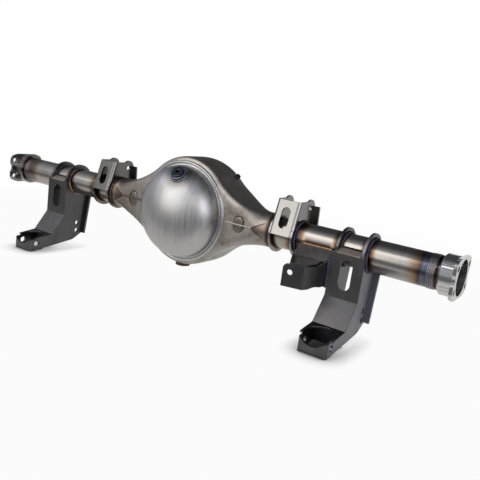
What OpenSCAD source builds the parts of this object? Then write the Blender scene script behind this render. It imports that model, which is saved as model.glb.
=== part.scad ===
// Fabricated banjo axle housing with welded link, shock and track-bar brackets.
// Millimetres, +Z up, +X along the axle to the right hand end seen from behind,
// the round back faces -Y, the open carrier face +Y. The origin is on the axle
// line, half way between the two bearing end flanges.

/* [Axle] */
// face to face distance of the two bearing end flanges
flange_to_flange = 1447.8; // [1300:0.1:1600]
// outside diameter of the axle tubes
tube_d = 76.2; // [70:0.1:90]
// wall thickness of the axle tubes
tube_wall = 6.35; // [4:0.05:10]
// length of each bearing end, from the tube to its flange face
end_length = 60.9; // [50:0.1:90]
// distance from mid-plane to the inner end of each tube
tube_start_x = 224; // [222:1:240]

/* [Banjo] */
// sideways offset of the round belly from the mid-plane
belly_x = 3; // [0:1:20]
// outside radius of the round belly
belly_r = 145; // [130:0.5:160]
// distance from the axle line to the back face of the belly
belly_rear = 46; // [44:0.5:60]
// distance from the axle line to the front of the belly
belly_front = 78; // [70:0.5:90]
// wall thickness of the stamped halves
belly_wall = 6; // [4:0.1:8]
// outside radius of the necks that hold the tubes
neck_r = 43.6; // [42:0.1:52]
// distance from mid-plane to the outer end of each neck
neck_x = 271; // [255:1:272]
// length of the straight part of each neck
neck_straight = 20; // [10:1:40]
// half length of the belly over which the depth stays full
full_depth_x = 128; // [100:1:150]
// squareness of the back corner at the belly
rear_square = 10; // [4:0.5:14]
// squareness of the front corner at the belly
front_square = 6; // [2:0.5:10]

/* [Round back] */
// outside radius of the dome skirt
dome_r = 121; // [112:0.5:124]
// radius of the dome shoulder
dome_shoulder_r = 60; // [40:0.5:60]
// radius of the dome crown
dome_crown_r = 221; // [180:1:300]
// height of the straight dome skirt
dome_skirt = 12.5; // [8:0.1:20]
// wall thickness of the dome
dome_wall = 5; // [3:0.1:8]
// outside radius of the dome rim flange
rim_r = 134.5; // [130:0.5:138]
// thickness of the dome rim flange
rim_t = 5; // [3:0.1:8]
// radius of the bead round the rim
bead_r = 3.6; // [2:0.1:5]
// depth of the rim seat below the back face
rim_seat = 4.5; // [3:0.1:5.5]
// radius of the opening behind the dome
rear_opening_r = 113; // [90:0.5:114]

/* [Carrier face] */
// radius of the carrier opening
opening_r = 102; // [90:0.5:105]
// outside radius of the carrier ring
ring_r = 122; // [116:0.5:124]
// thickness of the carrier ring
ring_t = 9.5; // [8:0.5:16]
// distance from the axle line to the seat of the carrier ring
ring_seat_y = 71; // [68:0.5:74]
// diameter of the stud circle
stud_pcd = 224; // [218:0.5:230]
// number of carrier studs
stud_count = 10; // [6:1:12]
// diameter of the carrier studs
stud_d = 9.525; // [8:0.005:12]
// diameter of the pressed-in end of a stud
stud_shank_d = 10.4; // [9.8:0.1:12]
// length the studs stand out of the ring
stud_out = 28; // [20:1:40]

/* [Plugs and vent] */
// outside diameter of the filler bung
filler_d = 43; // [30:0.5:48]
// sideways distance of the filler bung from the mid-plane
filler_x = 18; // [0:1:30]
// height of the filler bung centre above the axle line
filler_z = 101.6; // [95:0.1:106]
// distance of the filler bung centre behind the axle line
filler_y = 95; // [90:0.5:100]
// upward tilt of the filler axis in degrees
filler_tilt = 45; // [10:1:50]
// length the filler bung stands out from its centre
filler_out = 7; // [4:0.5:12]
// length of the filler bung inside the dome
filler_in = 12; // [8:0.5:16]
// thread diameter of the filler plug
filler_thread_d = 26; // [18:0.5:30]
// outside diameter of the drain bung
drain_d = 40; // [26:0.5:42]
// distance of the drain behind the axle line
drain_y = 18; // [0:0.5:19]
// length the drain bung stands out below the belly
drain_out = 6; // [2:0.5:8]
// thread diameter of the drain plug
drain_thread_d = 18; // [14:0.5:22]
// angle of the vent from straight up in degrees
vent_angle = 43; // [20:1:60]
// distance of the vent in front of the axle line
vent_y = 45; // [20:1:50]
// stem diameter of the vent
vent_d = 9; // [6:0.5:12]
// diameter of the vent head
vent_head_d = 13; // [10:0.5:16]
// radial play of plug and vent threads
thread_clear = 0.1; // [0.05:0.01:0.3]

/* [Bearing ends] */
// diameter of the bearing bore
bearing_bore_d = 80; // [70:0.1:84]
// depth of the bearing bore
bearing_depth = 26; // [18:0.5:30]
// outside diameter of the bearing cup
cup_d = 91; // [86:0.5:96]
// length of cup and flange together
cup_length = 39; // [30:0.5:45]
// thickness of the flange
flange_t = 7.5; // [6:0.1:13]
// front to back width of the flange
flange_w = 116; // [110:0.5:124]
// height of the flange
flange_h = 91; // [88:0.5:100]
// front to back spacing of the flange bolts
bolt_y = 90.5; // [84:0.1:96]
// height spacing of the flange bolts
bolt_z = 50.8; // [46:0.1:62]
// diameter of the flange bolt holes
bolt_d = 13; // [10:0.1:14]
// radius of the flange corners
flange_corner = 17; // [8:0.5:24]
// radius of the hollows at front and back of the flange
flange_waist_r = 19; // [14:0.5:30]
// depth of the hollows at front and back of the flange
flange_waist = 5; // [2:0.5:8]
// radius of the hollows above and below the flange corners
flange_hollow_r = 14; // [10:0.5:20]
// depth of the hollows above and below the flange corners
flange_hollow = 2; // [0.5:0.5:4]
// depth of the grooves along the cup
cup_groove = 1.4; // [0.5:0.1:2.5]
// angle between the two grooves of a pair in degrees
cup_groove_step = 12; // [8:1:20]
// angle of the groove pairs from the vertical in degrees
cup_groove_turn = 32; // [20:1:50]

/* [Upper link brackets] */
// distance from mid-plane to the bracket centre
upper_x = 308; // [303:0.5:330]
// width over the side plates
upper_w = 65; // [55:0.5:68]
// sheet thickness
upper_t = 5; // [4:0.1:8]
// outer radius of the folds
upper_fold = 9; // [6:0.5:14]
// radius of the rings round the tube
upper_ring_r = 50; // [46:0.5:56]
// lean of the face plate in degrees
upper_lean = 16.4; // [5:0.1:25]
// distance from the axle line to the face at its lower edge
upper_face_y = 52; // [48:0.5:60]
// height of the lower edge of the face
upper_face_z = 3; // [-5:0.5:12]
// length of the face plate
upper_face_len = 86.5; // [70:0.5:100]
// width of the slot in the face
upper_slot_w = 24; // [12:0.5:32]
// length of the slot in the face
upper_slot_len = 53; // [36:0.5:64]
// link hole distance in front of the axle line
upper_hole_y = 26; // [15:0.5:32]
// link hole height above the axle line
upper_hole_z = 70; // [62:0.5:78]
// angle at which the top edge runs into the lobe in degrees
upper_lobe_turn = 131; // [100:1:150]
// radius of the lobe round the link hole
upper_lobe_r = 21.5; // [16:0.5:24]
// distance of the rear flange in front of the axle line at its foot
upper_rear_y = 51; // [48:0.5:60]
// height of the foot of the rear flange
upper_rear_z = 26; // [20:0.5:40]
// width of the outward rear flanges
upper_flange_w = 15; // [6:0.5:18]
// diameter of the link bolt holes
link_hole_d = 13; // [10:0.1:17]

/* [Lower link brackets] */
// distance from mid-plane to the bracket centre
lower_x = 489.5; // [470:0.5:510]
// clear gap between the side plates
lower_gap = 58; // [50:0.5:64]
// thickness of the side plates
lower_t = 6.35; // [4:0.05:8]
// width of the face plate
lower_face_w = 82; // [74:0.5:88]
// thickness of the face plate
lower_face_t = 5; // [4:0.1:8]
// radius of the rings round the tube
lower_ring_r = 51; // [46:0.5:56]
// distance from the axle line to the face plate
lower_face_y = 55; // [52:0.5:62]
// height of the top edge of the face plate
lower_face_top = 0; // [-6:0.5:4]
// depth of the bend below the axle line
lower_bend_z = 104; // [90:0.5:115]
// distance of the shelf bend behind the axle line
shelf_bend_y = 97.5; // [85:0.5:110]
// depth of the shelf bend below the axle line
shelf_bend_z = 160; // [150:0.5:170]
// distance of the shelf end behind the axle line
shelf_end_y = 152; // [130:0.5:158]
// downward slope of foot and shelf in degrees
foot_slope = 8.6; // [0:0.1:15]
// height the tongue of the face plate reaches up the tube
tongue_z = 15; // [8:0.5:20]
// thickness of the tongue
tongue_t = 4.5; // [3:0.1:6]
// width of the slot in the face plate
lower_slot_w = 30; // [14:0.5:36]
// top of the slot below the axle line
lower_slot_top = 14.6; // [12:0.1:25]
// bottom of the slot below the axle line
lower_slot_bottom = 84; // [70:0.5:92]
// radius of the round cut-out in the shelf
cut_r = 33; // [25:0.5:36]
// distance of the cut-out centre behind the axle line
cut_y = 137; // [130:0.5:150]
// height of the foot at its tip
foot_h = 34; // [32:0.5:44]
// distance of the foot tip behind the axle line
foot_tip_y = 172; // [165:0.5:185]
// thickness of the strap at the foot tip
strap_t = 6; // [4:0.1:9]
// outer corner radius of the strap
strap_corner = 12; // [8:0.5:16]
// depth of the dip in the top edge of the strap
strap_dip = 14; // [4:0.5:20]
// chamfer at the bottom of the foot tip
strap_chamfer = 5; // [2:0.5:8]
// shock bolt distance behind the axle line
shock_y = 146; // [140:0.5:150]
// shock bolt depth below the axle line
shock_z = 187.5; // [184:0.5:194]
// diameter of the shock bolt holes
shock_hole_d = 17; // [12:0.1:20]
// lower link bolt distance in front of the axle line
lower_hole_y = 3; // [-10:0.5:12]
// depth of the upper of the two lower link bolts
lower_hole_z = 133; // [120:0.5:140]
// spacing of the two lower link bolts
lower_hole_step = 24; // [20:0.5:30]
// rear edge distance in front of the axle line at the top
rear_edge_top_y = 43; // [40:0.5:48]
// rear edge distance in front of the axle line at the bottom
rear_edge_low_y = 28; // [20:0.5:36]
// depth of the top of the rear flange
rear_edge_top_z = 44; // [40:0.5:60]
// depth of the bottom of the rear flange
rear_edge_low_z = 166; // [150:0.5:172]
// distance of the heel behind the axle line
heel_y = 10; // [0:0.5:30]
// radius of the heel
heel_r = 40; // [10:1:60]
// thickness of the wall behind the shock pocket
pocket_wall_t = 5; // [3:0.5:8]
// gap between the round cut-out and that wall
pocket_wall_gap = 1.5; // [0.5:0.5:6]
// width of the outward rear flanges
lower_flange_w = 12; // [6:0.5:18]

/* [Track bar bracket] */
// thickness of the folded tab
tab_t = 6; // [4:0.1:8]
// tab left end, distance from mid-plane
tab_x = 372; // [365:0.5:380]
// tab left end, distance behind the axle line
tab_y = 130.5; // [120:0.5:140]
// turn of the tab away from the axle direction in degrees
tab_turn = 13; // [0:0.5:20]
// length of the tab up to the fold
tab_len = 50; // [40:0.5:60]
// depth of the top of the tab below the axle line
tab_top = 38; // [34:0.5:44]
// depth of the bottom of the tab below the axle line
tab_bottom = 91; // [80:0.5:100]
// track bar bolt distance from the tab left end
tab_hole_in = 17; // [14:0.5:30]
// track bar bolt depth below the axle line
tab_hole_z = 57; // [54:0.5:66]
// diameter of the track bar bolt hole
tab_hole_d = 13; // [10:0.1:17]
// radius of the rounded tab corner
tab_corner = 12; // [6:0.5:14]
// level length of the top edge of the side return
return_flat = 46; // [30:0.5:60]
// rise of the side return towards the tube
return_rise = 18; // [8:0.5:24]
// distance of the arch under the side return from the fold
return_arch_x = 41; // [25:0.5:55]
// radius of the arch under the side return
return_arch_r = 56; // [40:1:80]
// height of the arch under the side return
return_arch = 4; // [1:0.5:8]
// thickness of the top gusset
gusset_t = 5; // [4:0.1:8]
// distance of the gusset left end from the tab left end
gusset_start = 14; // [12:0.5:20]
// right end of the gusset at the saddle, distance from mid-plane
gusset_x = 424.5; // [410:0.5:430]
// right bend of the gusset, distance from mid-plane
gusset_bend_x = 431.5; // [425:0.5:436]
// right bend of the gusset, distance behind the axle line
gusset_bend_y = 87; // [75:0.5:100]
// thickness of the saddle plate
saddle_t = 7; // [5:0.1:9]
// saddle front distance behind the axle line
saddle_y = 43.5; // [42:0.5:45]
// left end of the saddle weld, distance from mid-plane
saddle_x = 366; // [355:0.5:375]
// height of the top edge of the saddle
saddle_top = -3; // [-6:0.5:0]
// depth of the bottom of the saddle below the axle line
saddle_bottom = 88; // [75:0.5:95]
// width of the saddle at its bottom
saddle_foot = 34; // [20:0.5:50]
// gap between the upper bracket and the left end of the saddle
saddle_gap = 5.5; // [2:0.5:20]
// edge of the saddle above the gusset
saddle_edge = 2; // [1:0.5:4]

/* [Hidden] */
$fn = 96;

// distance from the belly centre at which the belly of a half passes into its necks
neck_cut = full_depth_x + 20;
tube_r = tube_d / 2;
tube_bore_r = tube_r - tube_wall;
upper_rear_top = [upper_hole_y + upper_lobe_r, upper_hole_z + upper_t];
upper_rear_low = [upper_rear_y, upper_rear_z];
// plug heads, their edges past the thread, their key size and depth
plug_head = 4;
plug_edge = 4;
plug_key = 12;
plug_socket = 3;
drain_in = 10;
drain_head = 2.5;
vent_in = 4;
vent_gap = 1;
vent_head = 6;
cup_bevel = 3;
end_x = flange_to_flange / 2;
cup_x = end_x - cup_length;
tube_end_x = end_x - end_length;
saddle_left_x = upper_x + upper_w / 2 + saddle_gap;
rim_seat_y = belly_rear - rim_seat;
ring_face_y = ring_seat_y + ring_t;
cut_over = 1;
// the crown is trimmed this much inside the curve that would touch the shoulder
crown_trim = 0.2;
// rounded corners cross the faces that they round by this much
corner_trim = 0.3;
// outward flanges are set in this much from the far face of their plate
flange_step = 0.4;
// the opening behind the carrier ring is this much larger than the ring's own
ring_step = 1.5;
// the rolled bead stands in this much from the edge of the rim
bead_inset = 0.6;
// depth at which a lower side plate begins to follow its face plate
ring_blend = 10;
far = 400;

stations = 34;
profile_steps = 20;

steel = [0.62, 0.61, 0.59];
tube_steel = [0.56, 0.54, 0.52];
plate_grey = [0.33, 0.33, 0.34];
bright = [0.78, 0.79, 0.80];
dark = [0.16, 0.17, 0.20];
copper = [0.42, 0.27, 0.19];

// signed distance along the axle from the belly centre to where the neck runs straight
function reach(side) = neck_x - neck_straight - side * belly_x;
// radius of the hollow curve between belly and neck
function flare_r(l, r, h) = (l * l + h * h - r * r) / (2 * (r - h));
// half height of the body at distance d from the belly centre
function half_height(d, l, r, h) =
    let (f = flare_r(l, r, h), t = r * l / (r + f))
    d < t ? sqrt(r * r - d * d)
    : d < l ? h + f - sqrt(f * f - (l - d) * (l - d))
    : h;
// blend from 1 at the belly to 0 at the neck
function blend(d, l) =
    d < full_depth_x ? 1
    : d > l ? 0
    : 0.5 + 0.5 * cos(180 * (d - full_depth_x) / (l - full_depth_x));
// one quarter of a rounded-square curve
function sq(v, n) = sign(v) * pow(abs(v), 2 / n);
// outline of one half section, from the back round the top to the front
function half_section(x, inset) =
    let (side = x < belly_x ? -1 : 1, d = abs(x - belly_x), l = reach(side), w = blend(d, l),
        h = half_height(d, l, belly_r, neck_r) - inset,
        rear = neck_r + (belly_rear - neck_r) * w - inset,
        front = neck_r + (belly_front - neck_r) * w - inset,
        nr = 2 + (rear_square - 2) * w, nf = 2 + (front_square - 2) * w)
    [for (j = [0:profile_steps])
        let (a = 180 * (1 - j / profile_steps), n = a > 90 ? nr : nf, depth = a > 90 ? rear : front)
        [x, depth * sq(cos(a), n), j == 0 || j == profile_steps ? 0 : h * sq(sin(a), n)]];
function station_x(i) = -neck_x + 2 * neck_x * i / stations;

// arc that rounds the corner b between a and c
function fillet(a, b, c, r, n) =
    let (u = (a - b) / norm(a - b), v = (c - b) / norm(c - b),
        half = acos(max(-1, min(1, u * v))) / 2, m = (u + v) / norm(u + v),
        centre = b + m * r / sin(half), p = b + u * r / tan(half) - centre,
        q = b + v * r / tan(half) - centre, a0 = atan2(p[1], p[0]), a1 = atan2(q[1], q[0]),
        turn = a1 - a0 > 180 ? a1 - a0 - 360 : a1 - a0 < -180 ? a1 - a0 + 360 : a1 - a0)
    [for (k = [0:n]) centre + r * [cos(a0 + turn * k / n), sin(a0 + turn * k / n)]];
// meeting point of two lines, each given by a point and a direction
function meet(p, u, q, v) =
    let (k = ((q[0] - p[0]) * v[1] - (q[1] - p[1]) * v[0]) / (u[0] * v[1] - u[1] * v[0]))
    p + k * u;
function left_of(u) = [-u[1], u[0]] / norm(u);

// bent strip of the lower face plate, seen from the side as [Y, Z], front line
foot_dir = [-cos(foot_slope), -sin(foot_slope)];
face_top = [-lower_face_y, lower_face_top];
face_bend = [-lower_face_y, -lower_bend_z];
shelf_bend = [-shelf_bend_y, -shelf_bend_z];
shelf_end = shelf_bend + foot_dir * (shelf_end_y - shelf_bend_y) / cos(foot_slope);
front_line = [face_top, face_bend, shelf_bend, shelf_end];
function seg(i) = front_line[i + 1] - front_line[i];
function back_point(i) =
    i == 0 ? front_line[0] + lower_face_t * left_of(seg(0))
    : i == 3 ? front_line[3] + lower_face_t * left_of(seg(2))
    : meet(front_line[i] + lower_face_t * left_of(seg(i - 1)), seg(i - 1),
        front_line[i] + lower_face_t * left_of(seg(i)), seg(i));
back_line = [for (i = [0:3]) back_point(i)];
// ends of the foot where the strap begins
strap_start_y = foot_tip_y - strap_corner;
foot_top_z = back_line[2][1] - (strap_start_y + back_line[2][0]) * tan(foot_slope);
foot_low_z = foot_top_z - foot_h;
lower_half_w = lower_gap / 2 + lower_t;
// rear edge of a lower plate, upwards
rear_run = [rear_edge_top_y - rear_edge_low_y, rear_edge_low_z - rear_edge_top_z];
tongue_root = 8;
// radius of the dip, as wide as the gap between the plates
strap_dip_r = (pow(lower_gap / 2, 2) + strap_dip * strap_dip) / (2 * strap_dip);

// places a [Y, Z] outline as a plate of thickness t whose low X face is at x
module side_plate(x, t) {
    translate([x, 0, 0]) rotate([90, 0, 90]) linear_extrude(t) children();
}

// straight slot, width w and overall length l along Y
module slot2d(w, l) {
    square([w, l - w], center = true);
    translate([0, (l - w) / 2]) circle(d = w);
    translate([0, -(l - w) / 2]) circle(d = w);
}

// cylinder along Y from y0 to y1 on the belly centre line
module belly_cylinder(r, y0, y1) {
    translate([belly_x, y1, 0]) rotate([90, 0, 0]) cylinder(r = r, h = y1 - y0);
}

module tube_cutter() {
    translate([-far * 2, 0, 0]) rotate([0, 90, 0]) cylinder(r = tube_r, h = far * 4);
}

// thin half shell of the banjo, above the seam
module half_shell() {
    outer = [for (i = [0:stations]) each half_section(station_x(i), 0)];
    inner = [for (i = [0:stations]) each half_section(station_x(i), belly_wall)];
    row = profile_steps + 1;
    count = (stations + 1) * row;
    quads = concat(
        [for (i = [0:stations - 1]) for (j = [0:profile_steps - 1])
            [i * row + j, i * row + j + 1, (i + 1) * row + j + 1, (i + 1) * row + j]],
        [for (i = [0:stations - 1]) for (j = [0:profile_steps - 1])
            [count + i * row + j, count + (i + 1) * row + j, count + (i + 1) * row + j + 1,
                count + i * row + j + 1]],
        [for (i = [0:stations - 1])
            [i * row, (i + 1) * row, count + (i + 1) * row, count + i * row]],
        [for (i = [0:stations - 1]) let (k = profile_steps)
            [i * row + k, count + i * row + k, count + (i + 1) * row + k, (i + 1) * row + k]],
        [for (j = [0:profile_steps - 1]) [j, count + j, count + j + 1, j + 1]],
        [for (j = [0:profile_steps - 1]) let (s = stations * row)
            [s + j, s + j + 1, count + s + j + 1, count + s + j]]);
    faces = [for (q = quads) each [[q[0], q[1], q[2]], [q[0], q[2], q[3]]]];
    polyhedron(points = concat(outer, inner), faces = faces, convexity = 6);
}

// half shell with the openings for dome, carrier and tubes
module open_half_shell() {
    difference() {
        half_shell();
        belly_cylinder(rear_opening_r, -far, 0);
        belly_cylinder(rim_r, -far, -rim_seat_y);
        belly_cylinder(opening_r + ring_step, 0, far);
        belly_cylinder(ring_r, ring_seat_y, far);
        for (s = [-1, 1])
            translate([s * (neck_x + tube_start_x) / 2, 0, 0]) rotate([0, 90, 0])
                cylinder(r = tube_r, h = neck_x - tube_start_x + 2 * cut_over, center = true);
    }
}

// the part of a shape between two places along the axle
module between(from, to) {
    intersection() {
        children();
        translate([from, -far / 2, -far / 2]) cube([to - from, far, far]);
    }
}

module vent_frame() {
    translate([belly_x, vent_y, 0]) rotate([0, vent_angle, 0]) children();
}

module filler_frame() {
    translate([filler_x, -filler_y, filler_z]) rotate([90 - filler_tilt, 0, 0]) children();
}

module drain_frame() {
    translate([belly_x, -drain_y, -belly_r]) children();
}

module banjo_upper_half() {
    color(steel) between(belly_x - neck_cut, belly_x + neck_cut) difference() {
        open_half_shell();
        vent_frame() cylinder(d = vent_d, h = far);
    }
}

module banjo_lower_half() {
    color(steel) between(belly_x - neck_cut, belly_x + neck_cut) difference() {
        mirror([0, 0, 1]) open_half_shell();
        drain_frame() translate([0, 0, -far / 2]) cylinder(d = drain_d, h = far / 2 + belly_r / 2);
    }
}

module banjo_upper_neck_left() {
    color(steel) between(-far, belly_x - neck_cut) open_half_shell();
}

module banjo_upper_neck_right() {
    color(steel) between(belly_x + neck_cut, far) open_half_shell();
}

module banjo_lower_neck_left() {
    color(steel) between(-far, belly_x - neck_cut) mirror([0, 0, 1]) open_half_shell();
}

module banjo_lower_neck_right() {
    color(steel) between(belly_x + neck_cut, far) mirror([0, 0, 1]) open_half_shell();
}

// area under the dome curve as [radius, height], shrunk by the wall, reaching base below the rim
module dome_area(wall, base) {
    reach_r = dome_r - dome_shoulder_r;
    drop = sqrt(pow(dome_crown_r + crown_trim - dome_shoulder_r, 2) - reach_r * reach_r);
    intersection() {
        translate([0, dome_skirt - drop]) circle(r = dome_crown_r - wall);
        union() {
            translate([0, -base]) square([dome_r - wall, dome_skirt + base]);
            intersection() {
                translate([reach_r, dome_skirt]) circle(r = dome_shoulder_r - wall);
                translate([0, dome_skirt / 2]) square(far);
            }
            polygon([[0, dome_skirt / 2], [reach_r, dome_skirt / 2], [reach_r, dome_skirt],
                [reach_r, dome_skirt] + 2 * [reach_r, drop], [0, far]]);
        }
    }
}

module rear_dome() {
    color(steel) difference() {
        translate([belly_x, -rim_seat_y, 0]) rotate([90, 0, 0]) {
            difference() {
                rotate_extrude() dome_area(0, 0);
                rotate_extrude() dome_area(dome_wall, cut_over);
            }
            rotate_extrude() {
                translate([dome_r - dome_wall / 2, 0]) square([rim_r - dome_r + dome_wall / 2, rim_t]);
                translate([rim_r - bead_r - bead_inset, rim_t]) circle(r = bead_r);
            }
        }
        filler_frame() translate([0, 0, -far / 8]) cylinder(d = filler_d, h = far / 4);
    }
}

module carrier_ring() {
    color(steel) difference() {
        belly_cylinder(ring_r, ring_seat_y, ring_face_y);
        belly_cylinder(opening_r, ring_seat_y - cut_over, ring_face_y + cut_over);
        at_studs() cylinder(d = stud_shank_d, h = far, center = true);
    }
}

module at_studs() {
    for (i = [0:stud_count - 1])
        translate([belly_x, 0, 0]) rotate([0, 360 / stud_count * (i + 0.5), 0])
            translate([stud_pcd / 2, ring_seat_y, 0]) rotate([-90, 0, 0]) children();
}

module carrier_studs() {
    color(dark) at_studs() {
        cylinder(d = stud_shank_d, h = ring_t);
        cylinder(d = stud_d, h = ring_t + stud_out);
    }
}

module filler_bung() {
    color(dark) filler_frame() difference() {
        translate([0, 0, -filler_in]) cylinder(d = filler_d, h = filler_in + filler_out);
        translate([0, 0, -filler_in - cut_over]) cylinder(d = filler_thread_d, h = far);
    }
}

module filler_plug() {
    head_d = filler_thread_d + 2 * plug_edge;
    color(dark) filler_frame() difference() {
        union() {
            translate([0, 0, -filler_in])
                cylinder(d = filler_thread_d - 2 * thread_clear, h = filler_in + filler_out);
            translate([0, 0, filler_out]) cylinder(d = head_d, h = plug_head);
        }
        translate([0, 0, filler_out - plug_socket]) cylinder(d = plug_key, h = far, $fn = 6);
    }
}

module drain_bung() {
    color(copper) drain_frame() difference() {
        translate([0, 0, -drain_out]) cylinder(d = drain_d, h = drain_out + drain_in);
        translate([0, 0, -far / 2]) cylinder(d = drain_thread_d, h = far);
    }
}

module drain_plug() {
    color(copper) drain_frame() {
        translate([0, 0, -drain_out])
            cylinder(d = drain_thread_d - 2 * thread_clear, h = drain_out + drain_in);
        translate([0, 0, -drain_out - drain_head])
            cylinder(d = drain_thread_d + 2 * plug_edge, h = drain_head, $fn = 6);
    }
}

module vent_fitting() {
    color(dark) vent_frame() {
        translate([0, 0, belly_r - belly_wall - vent_in])
            cylinder(d = vent_d, h = belly_wall + 2 * vent_in);
        translate([0, 0, belly_r + vent_gap]) cylinder(d = vent_head_d, h = vent_head);
    }
}

module axle_tube_right() {
    color(tube_steel) translate([tube_start_x, 0, 0]) rotate([0, 90, 0]) difference() {
        cylinder(r = tube_r, h = tube_end_x - tube_start_x);
        translate([0, 0, -cut_over]) cylinder(r = tube_bore_r, h = far * 2);
    }
}

module axle_tube_left() {
    mirror([1, 0, 0]) axle_tube_right();
}

// flange outline, drawn as [Y, Z]
module flange2d() {
    r = flange_corner;
    w = flange_w / 2;
    h = flange_h / 2;
    difference() {
        union() {
            square([flange_w - 2 * r, flange_h], center = true);
            square([flange_w, bolt_z], center = true);
            for (sy = [-1, 1])
                for (sz = [-1, 1])
                    translate([sy * (w - r), sz * bolt_z / 2]) circle(r = r);
        }
        for (sy = [-1, 1])
            for (sz = [-1, 1])
                translate([sy * bolt_y / 2, sz * bolt_z / 2]) circle(d = bolt_d);
        for (sy = [-1, 1])
            translate([sy * (w + flange_waist_r - flange_waist), 0]) circle(r = flange_waist_r);
        for (sy = [-1, 1])
            for (sz = [-1, 1])
                translate([sy * (w - r), sz * (h + flange_hollow_r - flange_hollow)])
                    circle(r = flange_hollow_r);
    }
}

module bearing_end_right() {
    neck_len = cup_x - tube_end_x;
    color(bright) difference() {
        union() {
            translate([tube_end_x, 0, 0]) rotate([0, 90, 0]) cylinder(r = tube_r, h = neck_len + cup_bevel);
            translate([cup_x, 0, 0]) rotate([0, 90, 0])
                cylinder(r1 = cup_d / 2 - cup_bevel, r2 = cup_d / 2, h = cup_bevel);
            translate([cup_x + cup_bevel, 0, 0]) rotate([0, 90, 0])
                cylinder(d = cup_d, h = cup_length - cup_bevel);
            side_plate(end_x - flange_t, flange_t) flange2d();
        }
        translate([end_x - bearing_depth, 0, 0]) rotate([0, 90, 0])
            cylinder(d = bearing_bore_d, h = far);
        translate([tube_end_x - cut_over, 0, 0]) rotate([0, 90, 0]) cylinder(r = tube_bore_r, h = far);
        for (pair = [-1, 1])
            for (k = [-0.5, 0.5])
                rotate([90 + pair * cup_groove_turn + k * cup_groove_step, 0, 0])
                    translate([cup_x - cut_over, 0, cup_d / 2]) rotate([0, 90, 0])
                        cylinder(r = cup_groove, h = cup_length - flange_t);
    }
}

module bearing_end_left() {
    mirror([1, 0, 0]) bearing_end_right();
}

// side outline of the upper bracket above the tube, as [Y, Z]
module upper_outline() {
    lean = [sin(upper_lean), cos(upper_lean)];
    low = [-upper_face_y, upper_face_z];
    top = low + upper_face_len * lean;
    lobe = [upper_hole_y, upper_hole_z];
    shoulder = lobe + upper_lobe_r * [cos(upper_lobe_turn), sin(upper_lobe_turn)];
    polygon([low, top, shoulder, lobe, upper_rear_top, upper_rear_low, [0, 0]]);
    translate(lobe) circle(r = upper_lobe_r);
}

module upper_bracket_right() {
    half_w = upper_w / 2;
    inner_w = upper_w - 2 * upper_t;
    color(plate_grey) difference() {
        union() {
            intersection() {
                translate([0, -upper_face_y, upper_face_z]) rotate([-upper_lean, 0, 0])
                    translate([upper_x, 0, -far / 2]) linear_extrude(far) difference() {
                        union() {
                            translate([-half_w, upper_fold]) square([upper_w, far]);
                            translate([-half_w + upper_fold, 0]) square([upper_w - 2 * upper_fold, far]);
                            for (s = [-1, 1])
                                translate([s * (half_w - upper_fold), upper_fold]) circle(r = upper_fold);
                        }
                        translate([-inner_w / 2, upper_fold]) square([inner_w, far * 2]);
                        translate([-half_w + upper_fold, upper_t]) square([upper_w - 2 * upper_fold, far]);
                        for (s = [-1, 1])
                            translate([s * (half_w - upper_fold), upper_fold])
                                circle(r = upper_fold - upper_t);
                    }
                side_plate(upper_x - half_w, upper_w) upper_outline();
            }
            for (x = [upper_x - half_w, upper_x + half_w - upper_t])
                side_plate(x, upper_t) circle(r = upper_ring_r);
            for (s = [-1, 1])
                upper_rear_flange(s);
        }
        tube_cutter();
        translate([upper_x, -upper_face_y, upper_face_z]) rotate([90 - upper_lean, 0, 0])
            translate([0, upper_face_len / 2, -upper_t * 2]) linear_extrude(upper_t * 4)
                slot2d(upper_slot_w, upper_slot_len);
        translate([upper_x, upper_hole_y, upper_hole_z]) rotate([0, 90, 0])
            cylinder(d = link_hole_d, h = 2 * upper_w, center = true);
    }
}

// flange folded outward along the rear edge of one upper side plate
module upper_rear_flange(s) {
    run = upper_rear_top - upper_rear_low;
    x0 = upper_x + s * (upper_w / 2 - upper_t / 2);
    translate([x0, upper_rear_low[0], upper_rear_low[1]]) rotate([-atan2(run[0], run[1]), 0, 0])
        translate([s < 0 ? -upper_flange_w - upper_t / 2 : -upper_t / 2, -upper_t, 0])
            cube([upper_flange_w + upper_t, upper_t, norm(run)]);
}

module upper_bracket_left() {
    mirror([1, 0, 0]) upper_bracket_right();
}

// side outline of a lower plate as [Y, Z]
module lower_outline() {
    set_in = lower_t / 2 * left_of(rear_run);
    top_rear = [rear_edge_top_y, -rear_edge_top_z] + set_in;
    low_rear = [rear_edge_low_y, -rear_edge_low_z] + set_in;
    toe = [-strap_start_y, foot_low_z];
    heel = [-heel_y, foot_low_z + (strap_start_y - heel_y) * tan(foot_slope)];
    difference() {
        union() {
            intersection() {
                circle(r = lower_ring_r);
                translate([back_line[1][0], -far]) square(2 * far);
            }
            polygon(concat([[0, 0], [back_line[1][0], -ring_blend], back_line[1], back_line[2],
                [-strap_start_y, foot_top_z], toe], fillet(toe, heel, low_rear, heel_r, 4),
                [low_rear, top_rear]));
        }
        circle(r = tube_r);
        translate([-shock_y, -shock_z]) circle(d = shock_hole_d);
        for (i = [0, 1])
            translate([lower_hole_y, -lower_hole_z - i * lower_hole_step]) circle(d = link_hole_d);
    }
}

// one lower side plate with its outward rear flange, s = -1 inner and 1 outer
module lower_plate(s) {
    x0 = lower_x + (s < 0 ? -lower_half_w : lower_gap / 2);
    lean = atan2(rear_run[0], rear_run[1]);
    width = lower_t + lower_flange_w - flange_step;
    color(plate_grey) {
        side_plate(x0, lower_t) lower_outline();
        translate([x0, rear_edge_low_y, -rear_edge_low_z]) rotate([-lean, 0, 0])
            translate([s < 0 ? -lower_flange_w : flange_step, -lower_t, -cut_over])
                cube([width, lower_t, norm(rear_run) + 2 * cut_over]);
    }
}

module lower_inner_plate_right() {
    lower_plate(-1);
}

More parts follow.
